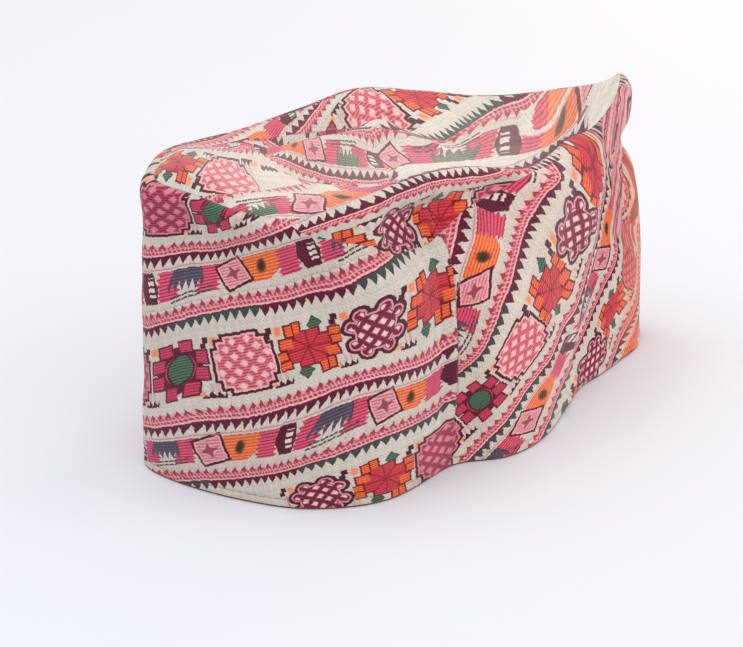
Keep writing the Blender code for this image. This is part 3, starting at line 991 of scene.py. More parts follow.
def paint_flower(picture, x, y, pick, lines):
    """Eight square crimson petals round a green middle."""
    petals = blocks(*half_turn(x, y), FLOWER_PETALS)
    oval = ((x * x) + (y * y) * 0.85).work("SQRT")
    picture.paint(petals.least(oval - 8.2).below(0.6) * pick, "#5f1730")
    petals = petals.least(oval - 6.0).below(-0.15) * pick
    picture.paint(petals, CRIMSON)
    picture.paint(petals * lines * 0.6, "#d65a7e")
    oval = ((x * (1 / 4.6)).work("POWER", 2.0) + (y * (1 / 5.8)).work("POWER", 2.0)).work("SQRT")
    picture.paint(oval.below(1.14, 0.06) * pick, "#4a1a28")
    middle = oval.below(0.98, 0.06) * pick
    picture.paint(middle, "#3a4b40")
    picture.paint(middle * lines, "#4e7d5c")


def lattice(x, y, pitch):
    """Distance from the nearest point of a lattice set on its corner, in pitches."""
    p = (x + y) * (0.7071 / pitch)
    q = (x - y) * (0.7071 / pitch)
    p = abs(p - p.work("ROUND"))
    q = abs(q - q.work("ROUND"))
    return p.most(q)


PINK_LOZENGE = ("#efb9b6", "#c03f57", "#df8591", "#f2c3bd")
DARK_LOZENGE = ("#d98795", "#8a2740", "#bd5069", "#d98c96")


def paint_lozenge(picture, x, y, pick, lines, colours):
    """A stepped medallion in a maroon outline, with pale squares."""
    rim, ground, shine, squares = colours
    shape = blocks(x, y, LOZENGE_STEPS)
    picture.paint(shape.below(0.0) * pick, MAROON)
    picture.paint(shape.below(-1.15) * pick, rim)
    body = shape.below(-1.9) * pick
    picture.paint(body, ground)
    picture.paint(body * lines * 0.8, shine)
    picture.paint(body * lattice(x, y, 4.3).below(0.28, 0.14), squares)


def paint_quatrefoil(picture, x, y, pick, lines):
    """A dark medallion of eight lobes with a pink inner line and pale dots."""
    ax = abs(x)
    ay = abs(y)
    lobes = []
    for at_x, at_y in KNOT_LOBES:
        right = ax - at_x
        up = ay - at_y
        lobes.append((right * right + up * up).work("SQRT") - KNOT_LOBE_RADIUS)
    middle = (ax.most(ay) - 9.4).most((ax + ay - 14.4) * 0.707)
    shape = lobes[0].least(lobes[1]).least(middle)
    picture.paint(shape.below(0.0) * pick, "#4c1a2a")
    picture.paint(shape.between(-2.15, -1.4) * pick, "#e394a0")
    inner = shape.below(-2.5) * pick
    picture.paint(inner, "#6a1c33")
    picture.paint(inner * lines * 0.5, "#8e3650")
    cell = lattice(x, y, 4.1)
    picture.paint(inner * cell.below(0.3, 0.1), "#d27384")
    picture.paint(inner * cell.below(0.23, 0.1), "#efd2cb")


def paint_star(picture, x, y, pick, lines):
    """A red cross with orange petals in pairs and two green leaves."""
    ax, ay = half_turn(x, y)
    leaf = abs(ax - 3.7) * 1.15 + abs(ay - 9.5) - 3.4
    satin(picture, leaf, pick, lines, (DARK_GREEN, "#4a7a59"), 0.6, 1.0)
    petals = blocks(ax, ay, STAR_PETALS)
    body = blocks(x, y, STAR_CROSS)
    picture.paint(petals.least(body).below(0.6) * pick, "#741722")
    cross = body.below(-0.1) * pick
    picture.paint(cross, "#bd2338")
    picture.paint(cross * lines * 0.6, "#dd5a5c")
    picture.paint(abs(abs(x) - abs(y)).below(0.45) * cross * 0.75, STAR_SEAM)
    picture.paint(abs(x).least(abs(y)).below(0.35) * cross * 0.75, STAR_SEAM)
    orange = petals.below(-0.15) * pick
    picture.paint(orange, "#d9482a")
    picture.paint(orange * lines, "#f07d46")


def paint_sprigs(picture, x, y):
    """Small pieces between two flowers: x is measured from half way."""
    picture.paint(blocks(x, y, SPRIG_DOTS).below(0.1), MAROON)
    speck = block(x, y, 2.3, 9.7, 1.3, 1.7)
    picture.paint(speck.below(0.1, 0.9), "#ee9468")
    pyramid = (x.zigzag(2.3) * 2.2 + y + 9.9).most(abs(x) - 3.4).most(-y - 12.8)
    picture.paint(pyramid.below(0.0), MAROON)
    tuft = (abs(x).zigzag(1.9) - 0.55).most(abs(x - 0.2) - 1.9).most(abs(y + 8.6) - 1.5)
    picture.paint(tuft.below(0.0, 0.3) * 0.6, "#d98f9d")
    picture.paint(block(x, y, -4.6, -10.9, 1.7, 0.9).below(0.1, 0.8) * 0.85, "#efa070")


def paint_floral(picture, along, height, lines, bare):
    """The row of flowers of a wide stripe."""
    step = along * (1 / FLOWER_PITCH)
    half = (step.part() - 0.5) * FLOWER_PITCH
    paint_sprigs(picture, half, height)
    step = step + 0.5
    number = step.floor()
    x = (step.part() - 0.5) * FLOWER_PITCH
    kind = (number * (1 / FLOWERS_IN_REPEAT)).part() * FLOWERS_IN_REPEAT
    shown = -bare + 1.0
    # rounding may give the repeat's first flower the number 6, not 0
    paint_flower(picture, x, height, kind.near(0.0).most(kind.near(6.0)) * shown, lines)
    paint_lozenge(picture, x, height, kind.near(1.0) * shown, lines, PINK_LOZENGE)
    paint_lozenge(picture, x, height, kind.near(5.0) * shown, lines, DARK_LOZENGE)
    paint_star(picture, x, height, kind.near(2.0).most(kind.near(4.0)) * shown, lines)
    paint_quatrefoil(picture, x, height, kind.near(3.0) * shown, lines)
    comb = (abs(x) - 4.6).most(abs(height + 9.5) - 1.4 + x.zigzag(2.3) * 0.9)
    picture.paint(comb.below(0.0) * bare, MAROON)


WALL_HILLS = ("#453f50", "#75707c")
CROWN_HILLS = ("#40584a", "#7c9a86")


def paint_narrow(picture, along, height, pick, lines, hills):
    """The row of figures of a narrow stripe."""
    x = (along * (1 / NARROW_REPEAT)).part() * NARROW_REPEAT
    y = height
    ragged = (y + x * 0.1).zigzag(1.9) * 1.6
    # the orange wing
    wing = (abs(x - 30.0) + ragged * 0.6 - 8.6).most(abs(y - 0.7) - 4.9).most((x - 33.0) * 0.7 - y - 4.2)
    satin(picture, wing, pick, lines, ("#dd5a34", "#f2935a"), 0.3, 0.9)
    # the crimson bars
    for at, half in BARS:
        bar = (abs(x - at) + ragged - half).most(abs(y - 0.6) - 4.9)
        satin(picture, bar, pick, lines, ("#b9284c", "#e0708a"), 0.2, 0.75)
    # the mountain with its snow rays, and dashes under it
    near_zero = x - x.above(NARROW_REPEAT / 2, 0.01) * NARROW_REPEAT
    ray = near_zero.zigzag(2.4) * 3.6 - 2.2
    hill = (abs(near_zero) + (y - 5.2) * 0.25 - 5.4).most(-y + ray).most(y - 5.5)
    satin(picture, hill, pick, lines, hills, 0.4, 0.5)
    slope = y - near_zero * 0.1
    dash = slope.between(-3.7, -3.0).most(slope.between(-5.2, -4.5)) * abs(near_zero - 2.5).below(8.0)
    picture.paint(dash * near_zero.zigzag(2.3).above(0.12, 0.3) * pick, "#4a3d49")
    # the wing's dark eye
    eye = ((x - 29.6) * (x - 29.6) + (y - 0.9) * (y - 0.9) * 0.6).work("SQRT")
    picture.paint(eye.below(1.9, 1.0) * pick, "#5a351c")
    picture.paint(eye.below(0.9, 0.5) * pick, "#33301f")
    # the leaning square
    leant = x - 19.0 + y * 0.6
    level = y - 0.4 - leant * 0.24
    across = (abs(leant) * (1 / 5.8)).most(abs(level) * (1 / 5.5))
    picture.paint(across.below(1.0, 0.03) * pick, MAROON)
    picture.paint(across.below(0.83, 0.03) * pick, "#ecb3b4")
    body = across.below(0.74, 0.03) * pick
    picture.paint(body * (abs(leant) * 0.9 + abs(level) * 0.9).above(2.6, 0.8) * 0.75, "#c4486a")
    picture.paint(body * lines * 0.6, "#f0c6c3")
    cross = (abs(leant) * abs(level)).below(1.2, 1.0) * across.below(0.5, 0.15)
    picture.paint(cross * pick * 0.9, "#84213c")
    # the pot with its comb
    lean = x - 50.4 + (y - 0.6) * 0.25
    pot = (abs(lean) + abs(y - 0.6) * 0.35 - 5.0).most(abs(y - 0.6) - 5.2)
    picture.paint(pot.below(0.0) * pick, "#591a2f")
    comb = (abs(lean - 1.7) - 1.6).most(abs(y - 0.8) - 3.2)
    picture.paint(comb.below(0.0) * y.zigzag(2.2).above(0.4, 0.2) * pick, "#dcd8cc")


# The ear, and the wing that the fold beside it cuts off
EAR_BACK = 8.0          # how far back, in mm, the ear's far side starts
EAR_COLUMN = 603.0      # pixel column where the pinched tip starts
EAR_ROW = 150.0         # pixel row where it narrows to a fold
EAR_WAIST = 140.0       # pixel row where the fold starts
EAR_FOLD_END = 235.0    # pixel row where the fold's satin stops
EAR_FOLD = 612.0        # pixel column of the fold's left side
EAR_RIGHT = 622.0       # pixel column of the fold's right side
EAR_LIT = 624.0         # pixel column right of which light through the cloth warms it
EAR_TOP = 86.0          # pixel row where its speckled top stops
EAR_STRAND = 3.4        # pixels from one satin strand to the next
EAR_TWIST = 10.0        # pixels from one dark thread to the next
CUT_WING_MIDDLE = 49.0  # length across at the middle of the wing that the fold cuts off


def paint_cut_wing(picture, along, height, pick, lines):
    """The wing that the fold beside the ear cuts off, on its own patch of ground."""
    ragged = (height + along * 0.1).zigzag(1.3) * 1.4
    ground = abs(along - 32.0).below(15.0, 1.0) * abs(height).below(3.6, 0.4)
    picture.paint(ground * pick, GROUND)
    wing = (abs(along - 31.0) + ragged * 0.6 + abs(height) * 0.6 - 12.0).most((abs(height + 0.2) - 2.6) * 3.0)
    picture.paint(wing.below(0.0, 0.3) * pick, "#ea7a44")
    picture.paint(wing.below(-0.3) * lines * pick * 0.8, "#f6a877")
    picture.paint(wing.below(0.0, 0.3) * along.above(36.0, 0.8) * pick, "#cf3f4e")
    picture.paint(wing.below(-0.3) * along.above(36.0, 0.8) * lines * pick * 0.7, "#e8848c")
    eye = (abs(along - 26.5) * 0.5).most(abs(height - 0.6))
    picture.paint(eye.below(0.9, 0.4) * pick * 0.85, "#5a3f3a")


def paint_ear(tree, picture, grain, slow):
    """The pinched tip: pink satin running down it, with dark twisted threads, a speckled top, and painted
    warm light of light through the cloth on its right edge.
    """
    column, row, _ = separate(tree, uv_map(tree, "ear"))
    wobble = (slow - 0.5) * 5.0
    # painted warm light: light through the cloth warms the ear's right edge
    lit = column.above(EAR_LIT, 10.0) * row.above(EAR_WAIST, 12.0)
    picture.paint(lit * 0.38, "#f08a58")
    pinched = (column + wobble * 0.5).above(EAR_COLUMN, 2.5) * (row + wobble).below(EAR_ROW, 6.0)
    fold = (column + wobble * 0.4).between(EAR_FOLD, EAR_RIGHT, 1.5)
    pinched = pinched.most(fold * row.between(EAR_WAIST, EAR_FOLD_END, 8.0))
    picture.paint(pinched, "#d9a3a3")
    strand = (column + row * 0.12 + wobble * 0.8) * (2 * math.pi / EAR_STRAND)
    picture.paint(strand.wave().above(0.1, 0.6) * pinched * 0.85, "#b75569")
    picture.paint((strand * 0.5 + 1.3).wave().above(0.72, 0.3) * pinched * 0.6, "#e9d3cc")
    twist = (column + row * 0.12 + wobble * 1.6) * (2 * math.pi / EAR_TWIST) + 0.6
    picture.paint(twist.wave().above(0.93, 0.05) * pinched * 0.85, "#4d2632")
    top = (row + wobble).below(EAR_TOP, 3.0) * pinched
    picture.paint(top * 0.7, GROUND)
    picture.paint(grain.above(0.52, 0.06) * top * 0.9, "#3b3236")


def paint_border(picture, along, border, green, flecks):
    """The light line and the pink edge over it, and the saw edge under it."""
    saw = (along.zigzag(SAW_PITCH) * 3.3 + border).above(-0.95) * border.below(0.1)
    picture.paint(saw, SAW_RED)
    picture.paint(saw * green, DARK_GREEN)
    picture.paint(border.between(0.4, 4.3), "#dfa3a4")
    teeth = (along.zigzag(SAW_PITCH) * -3.0 - border + 5.4).above(0.0, 0.3) * border.above(2.7)
    picture.paint(teeth, "#a03a50")
    picture.paint(border.between(0.7, 1.75, 0.3), "#b23a54")
    picture.paint(border.between(2.2, 3.15, 0.3), "#bd4a60")
    picture.paint(border.between(0.9, 3.2) * flecks * 0.8, "#eab3b0")
    picture.paint(border.between(-0.5, 0.15), SAW_RED)
    picture.paint(border.between(0.05, 0.75), "#f2b9b8")



EDGE_MAPS = ("edges_a", "edges_b")      # UV maps that hold two picks each
CREASE_SHADE_PLACE = 3                # which of those picks is the fold line over the crown
NARROW_SPAN = (45.0, 63.0)      # lengths across that the narrow row's figures may take
SAW_FROM = (36.9, 60.9)         # lengths across where the two saw edges of a period start
UPPER_FROM = 50.0               # length across from which a place belongs to the upper saw edge
# Thin lines over and under the narrow row: lengths across, strength and colour
NARROW_LINES = (((60.2, 60.7), 0.75, "#c56a7c"), ((47.0, 47.5), 0.5, "#d893a0"))


def spans(table, row, along):
    """One in the listed stretches of the listed rows. The last two numbers of each are its ends."""
    total = along * 0.0
    for span in table:
        total = total.most(row.near(float(span[0])) * along.between(span[-2], span[-1], 1.5))
    return total


def bare_cloth(name, roughness, sheen):
    """A new cloth material, with its tree and its shader."""
    material = bpy.data.materials.new(name)
    material.use_nodes = True
    tree = material.node_tree
    shader = tree.nodes["Principled BSDF"]
    shader.inputs["Roughness"].default_value = roughness
    shader.inputs["Sheen Weight"].default_value = sheen
    shader.inputs["Sheen Roughness"].default_value = 0.5
    shader.inputs["Specular IOR Level"].default_value = sheen
    return material, tree, shader


def dress(tree, shader, colour, weave, depth):
    """Give a shader its colour, and a bump of the weave with a depth in metres."""
    tree.links.new(colour, shader.inputs["Base Color"])
    bump = tree.nodes.new("ShaderNodeBump")
    bump.inputs["Strength"].default_value = 0.5
    bump.inputs["Distance"].default_value = depth
    tree.links.new(weave.socket, bump.inputs["Height"])
    tree.links.new(bump.outputs[0], shader.inputs["Normal"])


def cloth_material(name, charts, shifts, tint, on_crown=False, eared=False):
    """Patterned cloth. Each UV map of charts after the first is laid on where its pick is above zero.

    The picks are the numbers in the maps of edges, in their order.
    """
    material, tree, shader = bare_cloth(name, 0.88, 0.18)
    picks = []
    for edge_map in EDGE_MAPS[:len(charts) // 2]:
        picks.extend(separate(tree, uv_map(tree, edge_map))[:2])
    vector = uv_map(tree, charts[0])
    for chart, pick in zip(charts[1:], picks):
        vector = choose(tree, vector, uv_map(tree, chart), pick)
    along, across, _ = separate(tree, vector)
    thread_up = along * (1 / THREAD)
    thread_side = across * (1 / THREAD)
    weave = (thread_up * math.pi).wave() * (thread_side * math.pi).wave()
    grain = Field(tree, noise(tree, vector, 0.9, 3.0).outputs["Fac"])
    lines = hatch(across).above(0.0, 1.1)
    flecks = (hatch(along + across * 0.5, 1.5) + (grain - 0.5) * 3.0).above(0.55, 0.7)
    slow = separate(tree, noise(tree, vector, 0.12).outputs["Color"])
    side_thread = by_thread(tree, thread_side.floor(), 7.0) - 0.5
    up_thread = by_thread(tree, thread_up.floor(), 31.0) - 0.5
    slip = side_thread * THREAD_SLIP
    lift = up_thread * THREAD_SLIP
    along = along + slip + (slow[0] - 0.5) * 1.5
    across = across + lift + (slow[1] - 0.5) * 1.0
    row = (across * (1 / PERIOD)).floor()
    within_row = across - row * PERIOD
    floral_along = moved(along, row, shifts["floral"])
    narrow_along = moved(along, row, shifts["narrow"])
    picture = Picture(tree, GROUND)
    picture.paint(grain.above(0.5, 0.5), GROUND_SHADE)
    narrow = within_row.between(*NARROW_SPAN)
    bare = spans(shifts["bare"], row, floral_along)
    paint_floral(picture, floral_along, within_row - FLORAL_MIDDLE, lines, bare)
    hills = CROWN_HILLS if on_crown else WALL_HILLS
    paint_narrow(picture, narrow_along, within_row - NARROW_MIDDLE, narrow, lines, hills)
    for line, strength, colour in NARROW_LINES:
        picture.paint(within_row.between(*line) * strength, colour)
    border = within_row - within_row.above(SAW_FROM[0], 0.01) * FLORAL_WIDTH
    border = border - within_row.above(SAW_FROM[1], 0.01) * (PERIOD - FLORAL_WIDTH)
    upper = within_row.above(UPPER_FROM, 0.01)
    green = spans([span for span in shifts["green"] if span[1]], row, along) * upper
    green = green + spans([span for span in shifts["green"] if not span[1]], row, along) * (-upper + 1.0)
    paint_border(picture, along, border, green, flecks)
    if eared:
        paint_ear(tree, picture, grain, slow[2])
    if on_crown:
        wing_row = row.near(float(ROW_STEP["midcrown"]))
        paint_cut_wing(picture, along, within_row - CUT_WING_MIDDLE, wing_row, lines)
        # painted shade: a dark line along the fold over the crown
        picture.paint(picks[CREASE_SHADE_PLACE].below(0.3, 0.3) * 0.75, "#6b3a40")
        # this map holds the painted highlight of the crown's lit top, and the hollow behind the rim's saw
        # edge
        painted_highlight, hollow, _ = separate(tree, uv_map(tree, "highlight_and_hollow"))
        first_hollow = (ROW_STEP["midcrown"] + 1) * PERIOD - RIM_SAW
        picture.paint(hollow.above(0.5, 0.1) * separate(tree, vector)[1].above(first_hollow, 0.1), GROUND)
        # painted highlight: the crown's lit top drawn paler
        picture.paint(painted_highlight, HIGHLIGHT_PALE)
    fleck = Field(tree, noise(tree, vector, 2.1, 2.0).outputs["Fac"]) - 0.5
    picture.shade(weave * 0.05 + (side_thread + up_thread) * 0.12 + (grain - 0.5) * 0.4 + fleck * 0.75 + 1.0)
    # painted shade on the left wall, painted warm light on the right wall, a slight warm cast on the crown
    picture.tint(tint)
    dress(tree, shader, picture.colour, weave, 0.00022)
    return material


def plain_material(name, colour, shade, scale):
    """Plain woven cotton, with its weave's scale in millimetres."""
    material, tree, shader = bare_cloth(name, 0.9, 0.15)
    coordinates = tree.nodes.new("ShaderNodeTexCoord")
    x, y, z = separate(tree, coordinates.outputs["Object"])
    turn = 2 * math.pi / (scale * MM)
    weave = ((x + y) * turn).wave() * ((z + (x - y) * 0.7) * turn).wave()
    blotch = Field(tree, noise(tree, coordinates.outputs["Object"], 180.0, 3.0).outputs["Fac"])
    picture = Picture(tree, colour)
    picture.paint((weave * 0.25 + blotch).above(0.55, 0.5), shade)
    dress(tree, shader, picture.colour, weave, 0.00025)
    return material


def wall_grid(start, stop, count):
    """Outer and inner faces of a wall, the turn of each column and its height."""
    turns = spaced(start - CLEARANCE / walk_rate(start), stop + CLEARANCE / walk_rate(stop), count)
    padded = np.concatenate([[2 * turns[0] - turns[1]], turns, [2 * turns[-1] - turns[-2]]])
    shares = wall_shares(padded)
    bow = SEAM_BOW * np.exp(-((within(padded) + FRONT_SEAM) / BOW_REACH) ** 2)
    grid = wall_point(padded[:, None] - bow[:, None] * np.sin(np.pi * shares), shares)
    out = normals(grid)
    out[:, -1] = (0.0, 0.0, 1.0)
    out[:, 0, 2] = 0.0
    along = -walk(padded[:, None] - bow[:, None] * np.sin(np.pi * shares))
    places = np.stack([along, grid[..., 2]], -1)
    return grid[1:-1], (grid - out * CLOTH)[1:-1], places[1:-1]


def crown_grid():
    """Outer and inner faces of the crown."""
    sweep = (1 - np.cos(np.linspace(0.0, np.pi, CROWN_COLUMNS))) / 2
    sweep = CROWN_SWEEP * sweep + (1 - CROWN_SWEEP) * np.linspace(0.0, 1.0, CROWN_COLUMNS)
    stations = CROWN_END + (LAST_STATION - 2 * CROWN_END) * sweep
    front = wall_point(-stations, np.ones_like(stations))
    back = wall_point(stations, np.ones_like(stations))
    width = np.linalg.norm(back - front, axis=-1)
    gap = CLEARANCE / width
    across = gap[:, None] + (1 - 2 * gap[:, None]) * np.linspace(0.0, 1.0, CROWN_ROWS)
    grid = crown_point(stations[:, None], across)
    trust = np.clip(np.minimum(across, 1 - across) * width[:, None] / UPRIGHT_RIM, 0.0, 1.0)[..., None]
    out = normals(grid) * trust + np.array([0.0, 0.0, 1.0]) * (1 - trust)
    out[[0, -1]] = (0.0, 0.0, 1.0)
    out /= np.linalg.norm(out, axis=-1, keepdims=True)
    return grid, grid - out * CLOTH


def sheet_faces(columns, count):
    """Faces of two grids closed into one body: outer, then inner, then rim."""
    under = columns * count
    number = np.arange(under).reshape(columns, count)
    corners = np.stack([number[:-1, :-1], number[1:, :-1], number[1:, 1:], number[:-1, 1:]], -1)
    corners = corners.reshape(-1, 4)
    rim = np.concatenate([number[:, 0], number[-1, 1:], number[-2::-1, -1], number[0, -2::-1]])
    edge = np.stack([rim[1:], rim[:-1], rim[:-1] + under, rim[1:] + under], -1)
    faces = np.concatenate([corners, corners[:, ::-1] + under, edge])
    kinds = np.concatenate([np.zeros(len(corners)), np.ones(len(corners)), np.ones(len(edge))])
    return faces, kinds.astype(int)


def add_piece(name, points, faces, materials, kinds, maps, part):
    """Place one piece, given in millimetres, and hide the solid it stands for."""
    mesh = bpy.data.meshes.new(name)
    mesh.from_pydata(((points - MIDDLE) * MM).tolist(), [], np.asarray(faces).tolist())
    for label, values in maps:
        layer = mesh.uv_layers.new(name=label)
        corner = np.empty(len(mesh.loops), dtype=np.int32)
        mesh.loops.foreach_get("vertex_index", corner)
        layer.data.foreach_set("uv", values[corner].astype(np.float32).ravel())
    for material in materials:
        mesh.materials.append(material)
    mesh.polygons.foreach_set("material_index", kinds)
    mesh.shade_smooth()
    mesh.update()
    piece = bpy.data.objects.new(name, mesh)
    bpy.context.scene.collection.objects.link(piece)
    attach(piece, "root")
    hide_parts(part)


def doubled(values):
    """The same values for the outer grid and the inner one."""
    flat = values.reshape(-1, 2)
    return np.concatenate([flat, flat])


def chart_map(chart, places, name):
    """Lengths along and across at places, with the rows of the named stretch."""
    return np.stack([chart.along(places), chart.across(places) + ROW_STEP[name] * PERIOD], -1)


def shift_table(*names):
    """Shifts of the named stretches of one piece, by the piece's row numbers."""
    table = {"floral": {}, "narrow": {}, "green": [], "bare": []}
    for name in names:
        step = ROW_STEP[name]
        for kind in ("floral", "narrow"):
            for row, shift in SHIFTS[name][kind].items():
                table[kind][row + step] = shift
        for kind in ("green", "bare"):
            for row, *rest in SHIFTS[name][kind]:
                table[kind].append((row + step, *rest))
    return table


def ridge_pick(points):
    """Above zero on the part of the front wall that lies over the crest fold."""
    pixels = seen_at(points)[0]
    x = pixels[..., 0]
    reach = np.minimum(x - RIDGE_FOOT[0][0], RIDGE_FOOT[-1][0] - x) / VIEW_SCALE
    over = (in_pixels(RIDGE_FOOT, x) - pixels[..., 1]) / VIEW_SCALE
    front = np.where(points[..., 1] < RIDGE_BACK, FAR, -FAR)
    return np.clip(np.minimum(np.minimum(reach, over), front), -FAR, FAR)


def ear_map(points):
    """Pixels of the wall's points round the ear. Below it the far side has none."""
    pixels = seen_at(points)[0]
    far = (points[..., 1] > EAR_BACK) & (pixels[..., 1] > EAR_ROW)
    pixels[far] = 0.0
    return pixels


def add_walls(inner_cloth):
    finder, left, ridge = left_charts()
    right = right_chart(finder)
    table = {"left": (BACK_SEAM, -FRONT_SEAM, LEFT_COLUMNS, left),
             "right": (2 * LAST_STATION - FRONT_SEAM, BACK_SEAM, RIGHT_COLUMNS, right)}
    made = []
    for side, (start, stop, count, chart) in table.items():
        outer, inner, places = wall_grid(start, stop, count)
        if side == "right":
            places[..., 0] = np.mod(places[..., 0], LAP)
        pick = ridge_pick(outer)
        maps = (("chart_a", doubled(chart_map(chart, places, side))),
                ("chart_b", doubled(chart_map(ridge, places, "ridge"))),
                ("edges_a", doubled(np.stack([pick, pick], -1))),
                ("ear", doubled(ear_map(outer))))
        material = cloth_material(side + "_cloth", ("chart_a", "chart_b"), shift_table(side), TINTS_AND_PAINTED_LIGHT[side],
                                  eared=side == "right")
        made.append(material)
        faces, kinds = sheet_faces(*outer.shape[:2])
        points = np.concatenate([outer.reshape(-1, 3), inner.reshape(-1, 3)])
        add_piece(side + "_wall_cloth", points, faces, (material, inner_cloth), kinds, maps, side + "_wall")
    add_hem(made, (left, right))


def add_crown(inner_cloth):
    finder = crown_finder()
    outer, inner = crown_grid()
    places = outer[..., :2]
    laid = {name: chart_map(Chart(finder, *places_read), places, name)
            for name, *places_read in CROWN_STRETCHES}
    x, y = np.moveaxis(seen_at(outer)[0], -1, 0)
    under_shoulder = np.minimum(y - in_pixels(SHOULDER_TOP, x), SHOULDER_END - x) / VIEW_SCALE
    right_of_cut = (x - in_pixels([(down, column) for column, down in TONGUE_CUT], y)) / VIEW_SCALE
    right_of_cut = np.minimum(right_of_cut, -under_shoulder)
    behind = (in_pixels(CROWN_CREASE, x) - y) / VIEW_SCALE
    # painted highlight on the crown's lit top: how far each place is mixed toward the pale colour
    near_front = np.clip((outer[..., 1] - outer[:, :1, 1]) / HIGHLIGHT_REACH, 0.0, 1.0)
    painted_highlight = HIGHLIGHT_MOST * near_front * np.clip(HIGHLIGHT_LEVEL - behind / HIGHLIGHT_RUN, HIGHLIGHT_LEAST, 1.0)
    # distance from the fold line, along which a line of painted shade is drawn between the columns
    crease_shade = np.where((x > CREASE_SHADE_COLUMNS[0]) & (x < CREASE_SHADE_COLUMNS[1]), np.abs(behind), FAR)
    # the saw edge follows the front rim, with plain ground in the hollow behind it
    from_rim = np.linalg.norm(outer - outer[:, :1], axis=-1) * RIM_SAW_SLOPE
    by_rim = (from_rim < RIM_SAW) & (x > RIM_SAW_FROM) & (x < RIM_SAW_TO)
    beside = laid["midcrown"]
    first = ROW_STEP["midcrown"] * PERIOD
    hollow = (beside[..., 1] > first + PERIOD - RIM_SAW) & (x > RIM_SAW_FROM) & ~by_rim
    beside[..., 1] = np.where(by_rim, first + PERIOD - from_rim, beside[..., 1])
    charts = ("chart_a", "chart_b", "chart_c", "chart_d")
    maps = (*zip(charts, map(doubled, laid.values())),
            ("edges_a", doubled(np.stack([under_shoulder, right_of_cut], -1))),
            ("edges_b", doubled(np.stack([behind, crease_shade], -1))),
            ("highlight_and_hollow", doubled(np.stack([painted_highlight, hollow.astype(float)], -1))))
    material = cloth_material("crown_cloth", charts, shift_table("front", "backcrown"), TINTS_AND_PAINTED_LIGHT["crown"],
                              on_crown=True)
    faces, kinds = sheet_faces(*outer.shape[:2])
    points = np.concatenate([outer.reshape(-1, 3), inner.reshape(-1, 3)])
    add_piece("crown_cloth", points, faces, (material, inner_cloth), kinds, maps, "crown")


def add_hem(wall_materials, charts):
    """The turned edge: a rounded roll along the foot. Rust thread shows along its lowest edge and inside."""
    inside = -(CLOTH + HEM_PROUD)
    wide = HEM_OUT - inside
    middle = (HEM_OUT + inside) / 2
    ring = np.linspace(0.0, 2 * np.pi, HEM_SIDES + 1)[:-1]
    turns = spaced(LAST_STATION, -LAST_STATION, HEM_COLUMNS + 1)[:-1]
    loops = []
    heights = []
    for angle in ring:
        square = np.sign(np.cos(angle)) * abs(np.cos(angle)) ** HEM_CORNER
        upright = np.sign(np.sin(angle)) * abs(np.sin(angle)) ** HEM_CORNER
        plan = hem_loop(middle + wide / 2 * square)
        height = np.full(HEM_COLUMNS, HEM_HEIGHT / 2 * (1 + upright))
        loops.append(np.concatenate([plan, height[:, None]], -1))
        heights.append(height)
    points = np.concatenate(loops)
    height = np.concatenate(heights)
    turn = np.tile(turns, HEM_SIDES)
    on_left = (turn > -FRONT_SEAM) & (turn < BACK_SEAM)
    along = along_front(turn)
    along = np.where(on_left, along, np.mod(along, LAP))
    places = np.stack([along, height], -1)
    chart = np.where(on_left[:, None], chart_map(charts[0], places, "left"),
                     chart_map(charts[1], places, "right"))
    none = np.full((len(points), 2), -FAR)
    faces = []
    kinds = []
    for k in range(HEM_SIDES):
        here = k * HEM_COLUMNS
        after = (k + 1) % HEM_SIDES * HEM_COLUMNS
        outside = 0.0 <= ring[k] < np.pi / 2 or ring[k] >= RUST_UNDER
        for i in range(HEM_COLUMNS):
            j = (i + 1) % HEM_COLUMNS
            faces.append((here + i, here + j, after + j, after + i))
            same = on_left[here + i] == on_left[here + j]
            kinds.append((1 if on_left[here + i] else 2) if outside and same else 0)
    rust = plain_material("hem_cloth", RUST, RUST_SHADE, 1.1)
    maps = (("chart_a", chart), ("chart_b", chart), ("edges_a", none))
    add_piece("hem_cloth", points, faces, (rust, *wall_materials), kinds, maps, "hem")


FLOOR_COLOUR = (0.76, 0.795, 0.815, 1.0)
FLOOR_REACH = 6.0
AIM_HEIGHT = 0.05
# The lamps: place and size in metres, power and colour
LAMPS = (
    ("key", (-0.25, 0.15, 1.0), 0.7, 3.2, (1.0, 0.99, 0.97)),
    ("front", (0.85, -0.7, 0.55), 0.7, 3.0, (1.0, 0.93, 0.87)),
    ("low_front", (-0.3, -0.95, 0.22), 0.6, 1.3, (1.0, 0.97, 0.95)),
    ("right_rim", (0.8, 0.35, 0.35), 0.3, 1.5, (1.0, 0.6, 0.42)),
)


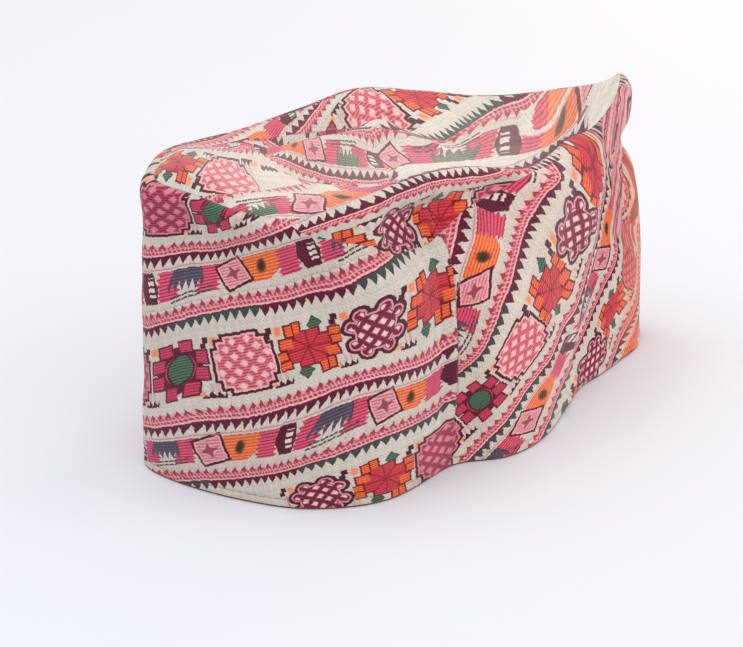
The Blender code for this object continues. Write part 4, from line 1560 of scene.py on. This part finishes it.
def area_light(name, place, size, power, colour):
    light = bpy.data.lights.new(name, "AREA")
    light.energy = power
    light.size = size
    light.color = colour
    lamp = bpy.data.objects.new(name, light)
    lamp.location = place
    aim = np.array((0.0, 0.0, AIM_HEIGHT)) - np.array(place)
    lamp.rotation_mode = "QUATERNION"
    lamp.rotation_quaternion = look(aim)
    bpy.context.scene.collection.objects.link(lamp)


def look(direction):
    return Vector(direction).to_track_quat("-Z", "Y")


def add_studio():
    floor = bpy.data.meshes.new("floor")
    corners = [(x * FLOOR_REACH, y * FLOOR_REACH, 0) for x, y in ((-1, -1), (1, -1), (1, 1), (-1, 1))]
    floor.from_pydata(corners, [], [(0, 1, 2, 3)])
    material = bpy.data.materials.new("floor")
    material.use_nodes = True
    shader = material.node_tree.nodes["Principled BSDF"]
    shader.inputs["Base Color"].default_value = FLOOR_COLOUR
    shader.inputs["Roughness"].default_value = 0.9
    shader.inputs["Specular IOR Level"].default_value = 0.0
    floor.materials.append(material)
    ground = bpy.data.objects.new("floor", floor)
    bpy.context.scene.collection.objects.link(ground)
    world = bpy.data.worlds.new("studio")
    world.use_nodes = True
    background = world.node_tree.nodes["Background"]
    background.inputs["Color"].default_value = linear("#f6f5fc")
    background.inputs["Strength"].default_value = 0.9
    bpy.context.scene.world = world
    for lamp in LAMPS:
        area_light(*lamp)


def add_camera():
    eye, _, _, forward = view_axes()
    data = bpy.data.cameras.new("camera")
    data.sensor_width = SENSOR_WIDTH
    data.lens = VIEW_SCALE * VIEW_DISTANCE * SENSOR_WIDTH / PHOTO_WIDTH
    data.clip_start = 0.01
    data.clip_end = 50.0
    camera = bpy.data.objects.new("camera", data)
    camera.location = (eye - MIDDLE) * MM
    camera.rotation_mode = "QUATERNION"
    camera.rotation_quaternion = look(forward)
    bpy.context.scene.collection.objects.link(camera)
    bpy.context.scene.camera = camera


INNER_CLOTH = plain_material("inner_cloth", INNER, INNER_SHADE, 0.9)
add_walls(INNER_CLOTH)
add_crown(INNER_CLOTH)
add_studio()
add_camera()
bpy.context.scene.view_settings.view_transform = "Standard"
